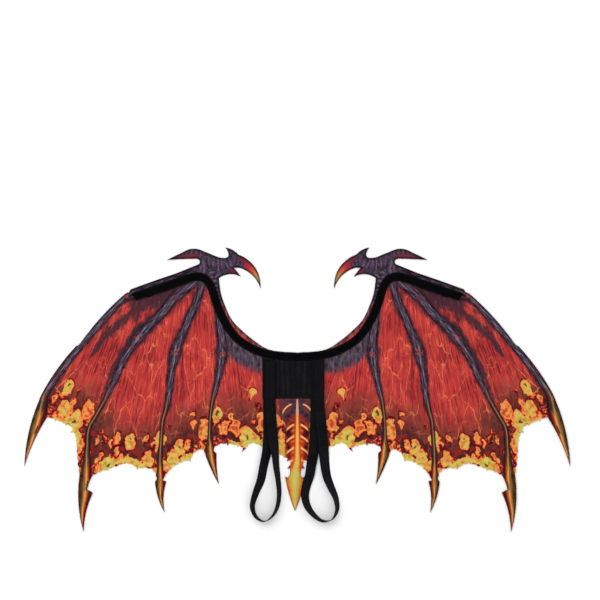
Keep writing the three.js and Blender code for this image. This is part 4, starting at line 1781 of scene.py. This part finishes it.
@dataclass
class Studio:
    """The pale floor, the soft lights and the camera straight above."""

    floor_side: float = 14.0
    sky_strength: float = 0.88
    lamp_size: float = 2.2
    lamp_power: float = 30
    lamp_place: tuple[float, float, float] = (-1.1, 1.3, 2.3)
    camera_height: float = 5.0
    sensor: float = 36.0
    photo_middle: tuple[float, float] = (2.7, 53.0)

    def build(self) -> None:
        """Sets up floor, lights and camera."""
        self.floor()
        self.lights()
        self.camera()

    def floor(self) -> None:
        """A flat sheet of paper under the wings."""
        r = self.floor_side / 2
        corners = np.array([[-r, -r, -0.0002], [r, -r, -0.0002], [r, r, -0.0002], [-r, r, -0.0002]])
        floor = make_piece("paper_floor", corners, [[0, 1, 2, 3]])
        s = Sketch("floor_paper")
        grain = s.noise(s.place(), 40, 3)
        colour = s.mix(grain, rgb(250, 250, 250), rgb(254, 254, 254))
        floor.data.materials.append(s.finish(colour, 0.9, 0.0))

    def lights(self) -> None:
        """A white sky, with a large soft lamp from the upper left."""
        world = bpy.data.worlds.new("studio_sky")
        world.use_nodes = True
        background = world.node_tree.nodes["Background"]
        background.inputs[0].default_value = (1, 1, 1, 1)
        background.inputs[1].default_value = self.sky_strength
        bpy.context.scene.world = world
        lamp = bpy.data.lights.new("soft_lamp", "AREA")
        lamp.shape, lamp.size, lamp.energy = "DISK", self.lamp_size, self.lamp_power
        holder = bpy.data.objects.new("soft_lamp", lamp)
        holder.location = self.lamp_place
        holder.rotation_euler = (-Vector(self.lamp_place)).to_track_quat("-Z", "Y").to_euler()
        bpy.context.scene.collection.objects.link(holder)
        bpy.context.scene.view_settings.view_transform = "Standard"

    def camera(self) -> None:
        """A long lens that looks straight down, with the photograph's frame and scale."""
        data = bpy.data.cameras.new("camera")
        data.sensor_width = self.sensor
        data.lens = data.sensor_width * self.camera_height / (PHOTO_SIDE * STEP)
        data.clip_start, data.clip_end = 0.1, 100
        camera = bpy.data.objects.new("camera", data)
        middle = on_sheet([self.photo_middle])[0]
        camera.location = (float(middle[0]), float(middle[1]), self.camera_height)
        bpy.context.scene.collection.objects.link(camera)
        bpy.context.scene.camera = camera


def main() -> None:
    """Builds every class in order and reports its pieces."""
    logging.basicConfig(level=logging.INFO, format="%(name)s: %(message)s")
    Studio().build()
    builders = (
        PrintedWings(),
        BindingBand(),
        NapePanel(),
        ShoulderLoop("loop_left", "strap_left", LEFT_ROWS),
        ShoulderLoop("loop_right", "strap_right", RIGHT_ROWS),
    )
    for builder in builders:
        for piece in builder.build():
            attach(piece, "root")
            LOG.info("%s: %d faces", piece.name, len(piece.data.polygons))
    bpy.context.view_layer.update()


if __name__ == "__main__":
    main()
